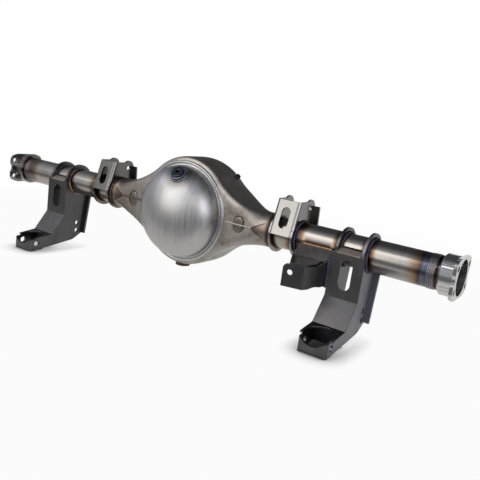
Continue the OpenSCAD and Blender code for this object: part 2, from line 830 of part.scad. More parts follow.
module lower_outer_plate_right() {
    lower_plate(1);
}

module lower_inner_plate_left() {
    mirror([1, 0, 0]) lower_plate(-1);
}

module lower_outer_plate_left() {
    mirror([1, 0, 0]) lower_plate(1);
}

// bent face plate with slot, tongue to the tube and shelf with round cut-out
module lower_face_plate_right() {
    slot_len = lower_slot_bottom - lower_slot_top;
    slot_z = -(lower_slot_bottom + lower_slot_top) / 2;
    color(plate_grey) difference() {
        union() {
            side_plate(lower_x - lower_face_w / 2, lower_face_w)
                polygon(concat(front_line, [for (i = [3:-1:0]) back_line[i]]));
            side_plate(lower_x - lower_gap / 2, lower_gap) difference() {
                polygon([face_top - [0, tongue_root], face_top, [tongue_t - tube_r, tongue_z],
                    [2 * tongue_t - tube_r, tongue_z - tongue_t], back_line[0] - [0, tongue_t],
                    back_line[0] - [0, tongue_root]]);
                circle(r = tube_r);
            }
        }
        translate([lower_x, 0, slot_z]) rotate([90, 0, 0]) linear_extrude(far)
            slot2d(lower_slot_w, slot_len);
        translate([lower_x, -cut_y, -far]) cylinder(r = cut_r, h = 2 * far);
        translate([lower_x - cut_r, -cut_y - far, -far]) cube([2 * cut_r, far, 2 * far]);
    }
}

module lower_face_plate_left() {
    mirror([1, 0, 0]) lower_face_plate_right();
}

// rounded strap that closes the tip of the foot
module foot_strap_right() {
    color(plate_grey) difference() {
        strap_block();
        translate([lower_x, 0, foot_top_z - strap_dip + strap_dip_r]) rotate([90, 0, 0])
            cylinder(r = strap_dip_r, h = far);
    }
}

// strap before the dip is cut
module strap_block() {
    r = strap_corner;
    intersection() {
        translate([lower_x, -strap_start_y, -far]) linear_extrude(2 * far) difference() {
            union() {
                translate([r - lower_half_w, -r]) square([2 * (lower_half_w - r), r]);
                for (s = [-1, 1])
                    intersection() {
                        translate([s * (lower_half_w - r), 0]) circle(r = r);
                        translate([-far / 2, -far]) square(far);
                    }
            }
            translate([r - lower_half_w, strap_t - r]) square([2 * (lower_half_w - r), r]);
            for (s = [-1, 1])
                translate([s * (lower_half_w - r), 0]) circle(r = r - strap_t);
        }
        side_plate(lower_x - lower_half_w, 2 * lower_half_w)
            polygon([[-strap_start_y, foot_top_z],
                [-foot_tip_y, foot_top_z - strap_corner * tan(foot_slope)],
                [-foot_tip_y, foot_low_z + strap_chamfer], [strap_chamfer - foot_tip_y, foot_low_z],
                [-strap_start_y, foot_low_z]]);
    }
}

module foot_strap_left() {
    mirror([1, 0, 0]) foot_strap_right();
}

// wall between the side plates that closes the shock pocket behind the cut-out
module pocket_wall_right() {
    y = cut_y - cut_r - pocket_wall_gap;
    rise = (strap_start_y - y) * tan(foot_slope);
    lean = pocket_wall_t * tan(foot_slope);
    top = foot_top_z + rise - pocket_wall_gap;
    low = foot_low_z + rise + pocket_wall_gap;
    color(plate_grey) side_plate(lower_x - lower_gap / 2, lower_gap)
        polygon([[-y, top], [-y, low], [pocket_wall_t - y, low + lean], [pocket_wall_t - y, top + lean]]);
}

module pocket_wall_left() {
    mirror([1, 0, 0]) pocket_wall_right();
}

// flat plate under the tube beside the right lower bracket
module track_bar_saddle() {
    right_x = lower_x - lower_half_w;
    color(plate_grey) difference() {
        translate([0, saddle_t - saddle_y, 0]) rotate([90, 0, 0]) linear_extrude(saddle_t)
            polygon([[saddle_x, saddle_top], [right_x, saddle_top], [right_x, -saddle_bottom],
                [right_x - saddle_foot, -saddle_bottom], [saddle_left_x, -tab_top - gusset_t],
                [saddle_left_x, -tab_top + gusset_t + saddle_edge]]);
        tube_cutter();
    }
}

// ends of the bent strip of the tab, seen from above
tab_start = [tab_x, -tab_y];
tab_fold = tab_start + tab_len * [cos(tab_turn), sin(tab_turn)];
tab_run = [lower_x - lower_face_w / 2 - 1, -saddle_y] - tab_fold;
return_turn = atan2(tab_run[1], tab_run[0]);
return_len = norm(tab_run) + tab_t;

// cutter drawn as [along, up] that goes right through the strip at one of its corners
module through(corner, turn) {
    translate([corner[0], corner[1], 0]) rotate([0, 0, turn]) rotate([90, 0, 0])
        linear_extrude(far, center = true) children();
}

// folded tab with the track bar bolt hole and its side return
module track_bar_tab() {
    stop = tab_fold + tab_run * return_len / norm(tab_run);
    in1 = tab_t * left_of(tab_fold - tab_start);
    in2 = tab_t * left_of(tab_run);
    inside = meet(tab_start + in1, tab_fold - tab_start, tab_fold + in2, tab_run);
    rise = [return_len - return_flat, return_rise];
    color(plate_grey) difference() {
        translate([0, 0, -tab_bottom]) linear_extrude(tab_bottom - tab_top + return_rise)
            polygon([tab_start, tab_fold, stop, stop + in2, inside, tab_start + in1]);
        through(tab_fold, return_turn) {
            polygon([[-far, -tab_top], [return_flat, -tab_top], [return_flat, -tab_top] + 2 * rise,
                [return_flat, far], [-far, far]]);
            polygon([[tab_t, -tab_bottom - cut_over], [2 * return_len, 2 * tab_t - tab_bottom],
                [2 * return_len, -far], [tab_t, -far]]);
            translate([return_arch_x, return_arch - tab_bottom - return_arch_r])
                circle(r = return_arch_r);
        }
        through(tab_start, tab_turn) {
            translate([tab_hole_in, -tab_hole_z]) circle(d = tab_hole_d);
            difference() {
                translate([-far, -tab_top - tab_corner]) square([far + tab_corner, far]);
                translate([tab_corner - corner_trim, corner_trim - tab_top - tab_corner])
                    circle(r = tab_corner);
            }
        }
        translate([0, -saddle_y, -far]) cube([far * 2, far, 2 * far]);
    }
}

// flat top of the track bar bracket
module track_bar_gusset() {
    color(plate_grey) translate([0, 0, -tab_top]) linear_extrude(gusset_t)
        polygon([[saddle_left_x, -saddle_y], [gusset_x, -saddle_y], [gusset_bend_x, -gusset_bend_y],
            tab_fold, [tab_x + gusset_start, gusset_start * tan(tab_turn) - tab_y]]);
}

banjo_upper_half();
banjo_lower_half();
banjo_upper_neck_left();
banjo_upper_neck_right();
banjo_lower_neck_left();
banjo_lower_neck_right();
rear_dome();
carrier_ring();
carrier_studs();
filler_bung();
filler_plug();
drain_bung();
drain_plug();
vent_fitting();
axle_tube_left();
axle_tube_right();
bearing_end_left();
bearing_end_right();
upper_bracket_left();
upper_bracket_right();
lower_inner_plate_left();
lower_inner_plate_right();
lower_outer_plate_left();
lower_outer_plate_right();
lower_face_plate_left();
lower_face_plate_right();
foot_strap_left();
foot_strap_right();
pocket_wall_left();
pocket_wall_right();
track_bar_saddle();
track_bar_tab();
track_bar_gusset();
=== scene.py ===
import math

import bpy
from mathutils import Matrix, Vector


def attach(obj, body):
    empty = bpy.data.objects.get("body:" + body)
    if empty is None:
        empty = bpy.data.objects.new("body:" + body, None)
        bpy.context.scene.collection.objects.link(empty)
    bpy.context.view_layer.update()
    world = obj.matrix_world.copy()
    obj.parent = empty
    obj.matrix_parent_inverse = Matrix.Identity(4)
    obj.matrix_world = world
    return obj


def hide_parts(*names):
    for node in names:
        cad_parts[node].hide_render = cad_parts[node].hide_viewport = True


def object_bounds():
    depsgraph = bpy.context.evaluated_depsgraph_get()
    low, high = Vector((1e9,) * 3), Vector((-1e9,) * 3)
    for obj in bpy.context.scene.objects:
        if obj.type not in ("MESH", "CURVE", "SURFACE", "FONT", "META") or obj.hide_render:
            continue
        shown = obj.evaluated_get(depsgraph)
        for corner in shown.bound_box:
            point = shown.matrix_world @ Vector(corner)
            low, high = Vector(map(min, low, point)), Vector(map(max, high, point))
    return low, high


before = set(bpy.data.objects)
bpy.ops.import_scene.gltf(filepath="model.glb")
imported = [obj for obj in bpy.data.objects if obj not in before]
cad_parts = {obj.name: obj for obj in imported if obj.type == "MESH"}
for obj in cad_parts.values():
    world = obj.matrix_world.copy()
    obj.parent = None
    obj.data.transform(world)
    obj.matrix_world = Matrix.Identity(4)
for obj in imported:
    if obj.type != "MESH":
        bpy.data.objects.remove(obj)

CAD_BOX = [list(corner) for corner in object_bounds()]

bl_info = {
    "name": "Axle housing",
    "version": (1, 0, 0),
    "blender": (4, 5, 0),
    "location": "3D View > Sidebar > Axle housing",
    "description": "Builds the looks of a fabricated axle housing on its packed frame",
    "category": "Object",
}

# place along the axle and reach of the heat tint of each ring weld, in metres
TUBE_WELDS = (
    (0.272, 0.026), (0.3415, 0.034), (0.454, 0.022), (0.4605, 0.014), (0.519, 0.014), (0.5255, 0.024),
)
NECK_WELDS = ((0.272, 0.02),)
END_WELDS = ((0.6795, 0.008),)

# between these places along the axle the right side's colours turn into the left side's: browner darts and
# ridges, and painted shade on the left upper bracket
RIGHT_SIDE = 0.1
LEFT_SIDE = -0.1

# radii just outside the tubes and the bearing bores, and a place along the axle just before the bores
TUBE_OUTSIDE = 0.0385
BORE_OUTSIDE = 0.0402
BORE_START = 0.69

# the ties at the seam: half width, half height
TIE_WIDE = 0.016
TIE_HIGH = 0.0205

# weld beads and ties are shaded smooth up to this angle, in degrees
BEAD_ANGLE = 60


def length(name, description, default):
    """A property that holds a length in metres."""
    return bpy.props.FloatProperty(
        name=name, description=description, default=default, unit="LENGTH", precision=4
    )


def colour(name, description, default):
    """A property that holds a colour."""
    return bpy.props.FloatVectorProperty(
        name=name, description=description, default=default, size=3, subtype="COLOR", min=0, max=1
    )


class HousingSizes(bpy.types.PropertyGroup):
    """Sizes of the pieces that are modelled here."""

    belly_x: length("Belly centre", "Place of the round belly along the axle", 0.003)
    belly_r: length("Belly radius", "Outer radius of the round belly", 0.145)
    belly_rear: length("Belly rear", "Depth of the belly behind the axle line", 0.046)
    belly_front: length("Belly front", "Depth of the belly before the axle line", 0.078)
    belly_wall: length("Belly wall", "Sheet thickness of the two halves", 0.006)
    neck_r: length("Neck radius", "Outer radius of the neck at the tube", 0.0436)
    neck_x: length("Neck end", "Distance of the neck's end from the middle", 0.271)
    neck_straight: length("Neck straight", "Length of the round part of the neck", 0.02)
    full_depth_x: length("Full depth", "Distance over which the belly keeps its depth", 0.128)
    dome_r: length("Dome radius", "Outer radius of the dome at its skirt", 0.121)
    dome_shoulder_r: length("Dome shoulder", "Radius of the dome's shoulder", 0.06)
    dome_crown_r: length("Dome crown", "Radius of the dome's crown", 0.221)
    dome_skirt: length("Dome skirt", "Height of the straight skirt", 0.0125)
    dome_wall: length("Dome wall", "Sheet thickness of the dome", 0.005)
    rim_r: length("Rim radius", "Outer radius of the dome's rim", 0.1345)
    rim_t: length("Rim thickness", "Thickness of the dome's rim", 0.005)
    rim_seat: length("Rim seat", "Place of the rim's seat behind the axle line", 0.0415)
    bead_r: length("Rim bead", "Radius of the rolled bead on the rim", 0.0036)
    opening_r: length("Carrier opening", "Radius of the open carrier face", 0.102)
    ring_r: length("Carrier ring", "Outer radius of the carrier ring", 0.122)
    ring_seat: length("Ring seat", "Place of the carrier ring's seat", 0.071)
    filler_r: length("Filler radius", "Outer radius of the filler bung", 0.0215)
    filler_x: length("Filler place", "Sideways place of the filler", 0.018)
    filler_y: length("Filler depth", "Distance of the filler behind the axle line", 0.095)
    filler_z: length("Filler height", "Height of the filler above the axle line", 0.1016)
    edge: length("Plate edge", "Width of the worn edge of the plates", 0.0009)


class HousingColours(bpy.types.PropertyGroup):
    """Colours of the finishes."""

    banjo: colour("Pressed steel", "Bare steel of the two halves", (0.34, 0.315, 0.285))
    dome: colour("Dome steel", "Brushed steel of the dome", (0.45, 0.44, 0.435))
    tube: colour("Tube steel", "Bare steel of the tubes", (0.36, 0.335, 0.305))
    plate: colour("Upper plate", "Steel of the upper brackets", (0.26, 0.25, 0.235))
    scale: colour("Lower plate", "Mill scale of the lower brackets", (0.105, 0.102, 0.103))
    # painted light: the right outer plate is painted lighter than the other lower plates; its blue-grey tone
    # is its own
    side: colour("Side plate", "Blue-grey scale of the outer plates", (0.2, 0.2, 0.222))
    machined: colour("Machined steel", "Turned steel of the bearing ends", (0.54, 0.53, 0.52))
    weld: colour("Weld", "Cooled weld metal", (0.07, 0.07, 0.1))
    blued: colour("Blued weld", "Ridged welds at the tube ends", (0.19, 0.185, 0.2))
    copper: colour("Weld tint", "Bright tint on the welds", (0.42, 0.25, 0.15))
    stain: colour("Stain", "Brown stain on bare steel", (0.13, 0.095, 0.07))
    black: colour("Black oxide", "Black finish of the filler plug", (0.06, 0.068, 0.082))
    drain: colour("Drain plug", "Brown finish of the drain plug", (0.075, 0.042, 0.026))
    stud: colour("Stud", "Zinc finish of the studs", (0.3, 0.3, 0.29))


class HousingStage(bpy.types.PropertyGroup):
    """Camera, floor and light."""

    camera_place: bpy.props.FloatVectorProperty(
        name="Camera place", description="Where the camera stands", size=3, unit="LENGTH",
        default=(0.98615, -1.27913, 0.27354),
    )
    camera_turn: bpy.props.FloatVectorProperty(
        name="Camera turn", description="Azimuth, elevation and roll of the camera", size=3,
        subtype="EULER", default=(math.radians(32.66), math.radians(11.9), math.radians(7.76)),
    )
    lens: bpy.props.FloatProperty(
        name="Lens", description="Focal length on a 36 mm sensor", default=44.874, unit="CAMERA"
    )
    around: bpy.props.FloatProperty(
        name="Surroundings", description="Level of the room light", default=0.46, min=0
    )
    box_level: bpy.props.FloatProperty(
        name="Soft boxes", description="Brightness of the soft boxes", default=2.8, min=0
    )


# Meshes


def select_only(obj):
    """Makes one object the only selected and the active one."""
    bpy.ops.object.select_all(action="DESELECT")
    obj.select_set(True)
    bpy.context.view_layer.objects.active = obj


def tidy_mesh(obj, closed=True):
    """Welds doubled points and turns the faces outwards."""
    select_only(obj)
    bpy.ops.object.mode_set(mode="EDIT")
    bpy.ops.mesh.select_all(action="SELECT")
    bpy.ops.mesh.remove_doubles(threshold=1e-6)
    bpy.ops.mesh.dissolve_degenerate(threshold=1e-7)
    if closed:
        bpy.ops.mesh.normals_make_consistent(inside=False)
    bpy.ops.object.mode_set(mode="OBJECT")


def mapped_grid(name, steps_u, steps_v, place, closed=True):
    """A grid laid over a surface: place(u, v) gives each point, u and v from 0 to 1."""
    bpy.ops.object.select_all(action="DESELECT")
    bpy.ops.mesh.primitive_grid_add(x_subdivisions=steps_u, y_subdivisions=steps_v, size=2)
    obj = bpy.context.object
    obj.name = obj.data.name = name
    for v in obj.data.vertices:
        v.co = Vector(place((v.co.x + 1) / 2, (v.co.y + 1) / 2))
    tidy_mesh(obj, closed)
    return obj


def revolved(name, profile, steps, axis, centre):
    """A profile of (radius, along) points turned round an axis."""
    last = len(profile) - 1

    def place(u, v):
        radius, along = profile[round(u * last)]
        angle = 2 * math.pi * v
        a, b = radius * math.cos(angle), radius * math.sin(angle)
        point = (a, along, b) if axis == "Y" else (along, a, b)
        return Vector(point) + Vector(centre)

    return mapped_grid(name, last, steps, place)


def bead_along(name, points, radius, pitch):
    """A rippled weld bead along a line of points, closed at both ends."""
    points = [Vector(p) for p in points]
    last = len(points) - 1
    run = [0.0]
    for a, b in zip(points, points[1:]):
        run.append(run[-1] + (b - a).length)

    def place(u, v):
        i = round(u * last)
        ahead = (points[min(i + 1, last)] - points[max(i - 1, 0)]).normalized()
        side = ahead.cross(Vector((0.31, 0.43, 0.85))).normalized()
        up = ahead.cross(side)
        end = min(i, last - i)
        size = radius * min(1.0, end * 0.5)
        size *= 1 + 0.22 * math.cos(2 * math.pi * run[i] / pitch)
        angle = 2 * math.pi * v
        return points[i] + side * (size * math.cos(angle)) + up * (size * math.sin(angle))

    sides = 8
    return mapped_grid(name, last, sides, place)


def bead_ring(name, x, ring, radius, ripples, swell=0.2):
    """A rippled weld bead right round the axle line."""
    def place(u, v):
        around = 2 * math.pi * u
        angle = 2 * math.pi * v
        size = radius * (1 + swell * math.cos(ripples * around))
        out = ring + size * math.cos(angle)
        lean = 1.25 * swell * radius * math.sin(ripples * around)
        return (x + size * 1.2 * math.sin(angle) + lean, out * math.cos(around), out * math.sin(around))

    return mapped_grid(name, ripples * 5, 10, place)


def apply_modifiers(obj):
    """Applies every modifier of an object in order."""
    select_only(obj)
    for name in [m.name for m in obj.modifiers]:
        bpy.ops.object.modifier_apply(modifier=name)


def cut(obj, cutter):
    """Takes a cutter out of an object and removes the cutter."""
    change = obj.modifiers.new("Cut", "BOOLEAN")
    change.operation = "DIFFERENCE"
    change.solver = "EXACT"
    change.object = cutter
    apply_modifiers(obj)
    mesh = cutter.data
    bpy.data.objects.remove(cutter)
    bpy.data.meshes.remove(mesh)


def smooth(obj, degrees=35):
    """Shades the faces smooth where they meet at a small angle."""
    select_only(obj)
    bpy.ops.object.shade_smooth_by_angle(angle=math.radians(degrees))


def finish_piece(obj, material, nodes=(), angle=35):
    """Gives a piece its finish, shades it and lets it ride on the body."""
    obj.data.materials.clear()
    obj.data.materials.append(material)
    smooth(obj, angle)
    if nodes:
        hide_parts(*nodes)
    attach(obj, "root")


def eased_copy(node, width, material):
    """A copy of a CAD node with a narrow worn edge."""
    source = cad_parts[node]
    bpy.ops.object.select_all(action="DESELECT")
    obj = bpy.data.objects.new(node + "_worn", source.data.copy())
    bpy.context.scene.collection.objects.link(obj)
    select_only(obj)
    bpy.ops.object.mode_set(mode="EDIT")
    bpy.ops.mesh.select_all(action="SELECT")
    bpy.ops.mesh.customdata_custom_splitnormals_clear()
    bpy.ops.mesh.remove_doubles(threshold=2e-6)
    bpy.ops.mesh.dissolve_limited(angle_limit=math.radians(0.5))
    bpy.ops.mesh.normals_make_consistent(inside=False)
    bpy.ops.object.mode_set(mode="OBJECT")
    edge = obj.modifiers.new("Edge", "BEVEL")
    edge.width = width
    edge.segments = 2
    edge.limit_method = "ANGLE"
    edge.angle_limit = math.radians(40)
    edge.use_clamp_overlap = True
    apply_modifiers(obj)
    finish_piece(obj, material, [node], 30)
    even = obj.modifiers.new("Even", "WEIGHTED_NORMAL")
    even.mode = "FACE_AREA"
    even.keep_sharp = True
    apply_modifiers(obj)
    return obj


# Shader groups and finishes


def add(tree, kind, inputs=None, **settings):
    """Adds a node, sets it up and fills its inputs with values or links."""
    made = tree.nodes.new(kind)
    for key, value in settings.items():
        setattr(made, key, value)
    for key, value in (inputs or {}).items():
        if isinstance(value, bpy.types.NodeSocket):
            tree.links.new(value, made.inputs[key])
        else:
            made.inputs[key].default_value = value
    return made


def maths(tree, operation, *values, clamp=False):
    """A math node's result."""
    made = add(tree, "ShaderNodeMath", dict(enumerate(values)), operation=operation, use_clamp=clamp)
    return made.outputs[0]


def blend(tree, factor, first, second, mode="MIX"):
    """A mixed colour."""
    made = add(tree, "ShaderNodeMix", data_type="RGBA", blend_type=mode)
    for key, value in ((0, factor), (6, first), (7, second)):
        if isinstance(value, bpy.types.NodeSocket):
            tree.links.new(value, made.inputs[key])
        elif key == 0:
            made.inputs[0].default_value = value
        else:
            made.inputs[key].default_value = (*value[:3], 1)
    return made.outputs[2]


def spread(tree, value, low, high, out_low=0.0, out_high=1.0):
    """A value mapped smoothly from one range to another."""
    made = add(
        tree, "ShaderNodeMapRange",
        {0: value, 1: low, 2: high, 3: out_low, 4: out_high}, interpolation_type="SMOOTHSTEP",
    )
    return made.outputs[0]


def ramp(tree, value, stops):
    """A colour read from a ramp of (place, colour) stops."""
    made = add(tree, "ShaderNodeValToRGB", {0: value})
    points = made.color_ramp.elements
    while len(points) < len(stops):
        points.new(0.5)
    for point, (place, shade) in zip(points, stops):
        point.position = place
        point.color = (*shade, 1)
    return made.outputs[0]


def new_group(name, inputs, outputs):
    """An empty shader group with the named sockets."""
    tree = bpy.data.node_groups.new(name, "ShaderNodeTree")
    for label, kind in inputs:
        tree.interface.new_socket(label, in_out="INPUT", socket_type=kind)
    for label, kind in outputs:
        tree.interface.new_socket(label, in_out="OUTPUT", socket_type=kind)
    return tree, tree.nodes.new("NodeGroupInput").outputs, tree.nodes.new("NodeGroupOutput").inputs


def grain_group():
    """Fine brush marks: noise stretched along the way that the surface was worked."""
    if "Brush grain" in bpy.data.node_groups:
        return bpy.data.node_groups["Brush grain"]
    tree, given, made = new_group(
        "Brush grain",
        [("Vector", "NodeSocketVector"), ("Stretch", "NodeSocketVector")],
        [("Value", "NodeSocketFloat")],
    )
    place = add(
        tree, "ShaderNodeVectorMath", {0: given["Vector"], 1: given["Stretch"]}, operation="MULTIPLY",
    )
    noise = add(
        tree, "ShaderNodeTexNoise",
        {"Vector": place.outputs[0], "Scale": 1.0, "Detail": 4.0, "Roughness": 0.6},
    )
    tree.links.new(noise.outputs[0], made["Value"])
    return tree


def stain_group():
    """Cloudy stain and mill scale."""
    if "Stain" in bpy.data.node_groups:
        return bpy.data.node_groups["Stain"]
    tree, given, made = new_group(
        "Stain",
        [("Vector", "NodeSocketVector"), ("Size", "NodeSocketFloat"), ("Cover", "NodeSocketFloat")],
        [("Mask", "NodeSocketFloat")],
    )
    noise = add(
        tree, "ShaderNodeTexNoise",
        {"Vector": given["Vector"], "Scale": given["Size"], "Detail": 5.0, "Roughness": 0.62},
    )
    low = maths(tree, "SUBTRACT", 0.78, given["Cover"])
    high = maths(tree, "ADD", low, 0.3)
    tree.links.new(spread(tree, noise.outputs[0], low, high), made["Mask"])
    return tree


def heat_group():
    """Heat tint beside a weld: blue-black, blue, purple, brown, straw, then bare."""
    if "Heat tint" in bpy.data.node_groups:
        return bpy.data.node_groups["Heat tint"]
    tree, given, made = new_group(
        "Heat tint",
        [("Vector", "NodeSocketVector"), ("Distance", "NodeSocketFloat"), ("Base", "NodeSocketColor")],
        [("Color", "NodeSocketColor")],
    )
    noise = add(tree, "ShaderNodeTexNoise", {"Vector": given["Vector"], "Scale": 40.0, "Detail": 3.0})
    shift = maths(tree, "MULTIPLY_ADD", noise.outputs[0], 0.44, -0.22)
    far = maths(tree, "ADD", given["Distance"], shift, clamp=True)
    tint = ramp(tree, far, [
        (0.0, (0.012, 0.013, 0.02)), (0.16, (0.025, 0.027, 0.046)), (0.28, (0.05, 0.034, 0.036)),
        (0.42, (0.12, 0.068, 0.042)), (0.62, (0.22, 0.16, 0.105)), (0.85, (0.31, 0.27, 0.22)),
    ])
    left = spread(tree, far, 0.5, 1.0, 1.0, 0.0)
    tree.links.new(blend(tree, left, given["Base"], tint), made["Color"])
    return tree


def call(tree, group, inputs):
    """Puts a shader group into a material."""
    made = add(tree, "ShaderNodeGroup")
    made.node_tree = group
    for key, value in inputs.items():
        if isinstance(value, bpy.types.NodeSocket):
            tree.links.new(value, made.inputs[key])
        elif made.inputs[key].type == "RGBA":
            made.inputs[key].default_value = (*value[:3], 1)
        else:
            made.inputs[key].default_value = value
    return made.outputs


def weld_distance(tree, x, welds):
    """How far along the axle a point is from the nearest of some welds, in shares of each weld's reach."""
    x = maths(tree, "ABSOLUTE", x)
    best = None
    for place, reach in welds:
        gap = maths(tree, "ABSOLUTE", maths(tree, "SUBTRACT", x, place))
        gap = maths(tree, "DIVIDE", gap, reach)
        best = gap if best is None else maths(tree, "MINIMUM", best, gap)
    return best


def tube_distance(tree, split, reach):
    """How far a point is from the tube's surface, in shares of a reach."""
    y = maths(tree, "MULTIPLY", split[1], split[1])
    out = maths(tree, "SQRT", maths(tree, "MULTIPLY_ADD", split[2], split[2], y))
    return maths(tree, "DIVIDE", maths(tree, "SUBTRACT", out, TUBE_OUTSIDE), reach)


def start_material(name):
    """A fresh material: its tree, its surface node and the object's coordinates."""
    material = bpy.data.materials.new(name)
    material.use_nodes = True
    tree = material.node_tree
    surface = tree.nodes["Principled BSDF"]
    surface.inputs["Metallic"].default_value = 1.0
    place = add(tree, "ShaderNodeTexCoord").outputs["Object"]
    return material, tree, surface, place


def steel(name, base, rough, stretch, grain=0.25, stain=None, cover=0.3, size=14.0,
          welds=(), near_tube=0.0, bump=0.15, rough_grain=0.12, extra=None, worn=None):
    """Bare steel with brush marks, stains and heat tint beside welds."""
    if name in bpy.data.materials:
        return bpy.data.materials[name]
    material, tree, surface, place = start_material(name)
    marks = call(tree, grain_group(), {"Vector": place, "Stretch": stretch})["Value"]
    shade = tuple(base)
    dirt = None
    if stain is not None:
        dirt = call(tree, stain_group(), {"Vector": place, "Size": size, "Cover": cover})["Mask"]
        shade = blend(tree, dirt, shade, tuple(stain))
    light = maths(tree, "MULTIPLY_ADD", marks, 2 * grain, 1 - grain)
    grey = add(tree, "ShaderNodeCombineColor", {0: light, 1: light, 2: light}).outputs[0]
    shade = blend(tree, 1.0, shade, grey, "MULTIPLY")
    split = add(tree, "ShaderNodeSeparateXYZ", {0: place}).outputs
    if extra is not None:
        shade = extra(tree, split, shade)
    if welds or near_tube:
        gap = weld_distance(tree, split[0], welds) if welds else tube_distance(tree, split, near_tube)
        shade = call(tree, heat_group(), {"Vector": place, "Distance": gap, "Base": shade})["Color"]
    tree.links.new(shade, surface.inputs["Base Color"])
    roughness = maths(tree, "MULTIPLY_ADD", marks, 2 * rough_grain, rough - rough_grain)
    if dirt is not None:
        roughness = maths(tree, "MULTIPLY_ADD", dirt, 0.12, roughness)
    if worn is not None:
        roughness = worn(tree, split, roughness)
    tree.links.new(roughness, surface.inputs["Roughness"])
    dent = add(tree, "ShaderNodeBump", {"Strength": bump, "Distance": 0.0004, "Height": marks})
    tree.links.new(dent.outputs[0], surface.inputs["Normal"])
    return material


def plain(name, base, rough):
    """An even metal finish."""
    if name in bpy.data.materials:
        return bpy.data.materials[name]
    material, _, surface, _ = start_material(name)
    surface.inputs["Base Color"].default_value = (*base[:3], 1)
    surface.inputs["Roughness"].default_value = rough
    return material


def weld_metal(name, cover):
    """Weld beads: blue-black with copper patches."""
    if name in bpy.data.materials:
        return bpy.data.materials[name]
    hues = bpy.context.scene.axle_colours
    material, tree, surface, place = start_material(name)
    patch = call(tree, stain_group(), {"Vector": place, "Size": 45.0, "Cover": cover})["Mask"]
    tree.links.new(blend(tree, patch, tuple(hues.weld), tuple(hues.copper)), surface.inputs["Base Color"])
    surface.inputs["Roughness"].default_value = 0.3
    return material


def dart(tree, split, shade):
    """The long heat-tinted darts that point from the tube joints into the belly."""
    tip = 0.221
    along = spread(tree, maths(tree, "ABSOLUTE", split[0]), tip, 0.273)
    across = maths(tree, "ABSOLUTE", split[0])
    across = maths(tree, "DIVIDE", maths(tree, "SUBTRACT", across, tip), 0.05)
    top = maths(tree, "SUBTRACT", maths(tree, "MULTIPLY_ADD", across, 0.026, 0.002), split[2])
    low = maths(tree, "SUBTRACT", split[2], maths(tree, "MULTIPLY_ADD", across, -0.0235, -0.002))
    inside = maths(tree, "MINIMUM", top, low)
    fill = ramp(tree, along, [
        (0.0, (0.13, 0.095, 0.08)), (0.35, (0.2, 0.16, 0.14)), (0.6, (0.22, 0.19, 0.17)),
        (0.78, (0.2, 0.15, 0.13)), (0.9, (0.1, 0.075, 0.075)), (1.0, (0.03, 0.03, 0.05)),
    ])
    brown = spread(tree, split[0], RIGHT_SIDE, LEFT_SIDE, 0.0, 0.6)
    fill = blend(tree, brown, fill, (0.085, 0.055, 0.042))
    edge = spread(tree, inside, 0.0, 0.0035)
    fill = blend(tree, edge, (0.045, 0.026, 0.018), fill)
    cover = spread(tree, inside, -0.0022, 0.0004)
    cover = maths(tree, "MULTIPLY", cover, spread(tree, across, -0.02, 0.04))
    return blend(tree, cover, shade, fill)


def banjo_marks(tree, split, shade):
    """Brown stain towards the left neck, then the darts."""
    brown = spread(tree, split[0], -0.12, -0.2, 0.0, 0.42)
    shade = blend(tree, brown, shade, (0.17, 0.13, 0.1))
    near = spread(tree, maths(tree, "ABSOLUTE", split[0]), 0.19, 0.26, 0.0, 0.3)
    shade = blend(tree, near, shade, (0.2, 0.16, 0.12))
    return dart(tree, split, shade)


def filler_halo(tree, split, shade):
    """A brown halo round the filler's weld."""
    s = bpy.context.scene.axle_sizes
    x = maths(tree, "SUBTRACT", split[0], s.filler_x)
    z = maths(tree, "SUBTRACT", split[2], s.filler_z)
    y = maths(tree, "ADD", split[1], s.filler_y)
    out = maths(tree, "MULTIPLY_ADD", z, z, maths(tree, "MULTIPLY_ADD", y, y, maths(tree, "MULTIPLY", x, x)))
    cover = spread(tree, maths(tree, "SQRT", out), 0.021, 0.052, 0.8, 0.0)
    return blend(tree, cover, shade, (0.09, 0.075, 0.06))


def end_tint(tree, split, shade):
    """Straw, brown and then blue towards the welded end of each tube."""
    place = add(tree, "ShaderNodeTexCoord").outputs["Object"]
    noise = add(tree, "ShaderNodeTexNoise", {"Vector": place, "Scale": 40.0, "Detail": 3.0}).outputs[0]
    along = maths(tree, "MULTIPLY_ADD", noise, 0.008, maths(tree, "ABSOLUTE", split[0]))
    along = maths(tree, "DIVIDE", maths(tree, "SUBTRACT", along, 0.612), 0.055)
    tint = ramp(tree, along, [
        (0.0, (0.33, 0.29, 0.25)), (0.376, (0.27, 0.21, 0.155)), (0.536, (0.2, 0.115, 0.07)),
        (0.65, (0.075, 0.055, 0.06)), (0.764, (0.12, 0.13, 0.17)), (0.89, (0.095, 0.103, 0.13)),
        (1.0, (0.07, 0.07, 0.085)),
    ])
    tint = blend(tree, spread(tree, split[0], -0.5, -0.6, 0.0, 0.6), tint, (0.14, 0.105, 0.08))
    return blend(tree, spread(tree, along, 0.0, 0.4), shade, tint)


def tube_marks(tree, split, shade):
    """Heat tint of the tubes that doesn't come from a ring weld, and painted shade above the track-bar
    bracket's weld.
    """
    return end_tint(tree, split, saddle_tint_and_painted_shade(tree, split, shade))


def saddle_tint_and_painted_shade(tree, split, shade):
    """Brown heat tint and painted shade on the right tube above the track-bar bracket's weld, darkest next
    to the weld where the tube meets the saddle.
    """
    z = maths(tree, "ADD", split[2], 0.003)
    y = maths(tree, "ADD", split[1], 0.038)
    out = maths(tree, "SQRT", maths(tree, "MULTIPLY_ADD", z, z, maths(tree, "MULTIPLY", y, y)))
    cover = spread(tree, out, 0.006, 0.022, 0.95, 0.0)
    cover = maths(tree, "MULTIPLY", cover, spread(tree, split[0], 0.355, 0.372))
    cover = maths(tree, "MULTIPLY", cover, spread(tree, split[0], 0.452, 0.446))
    return blend(tree, cover, shade, (0.035, 0.022, 0.014))


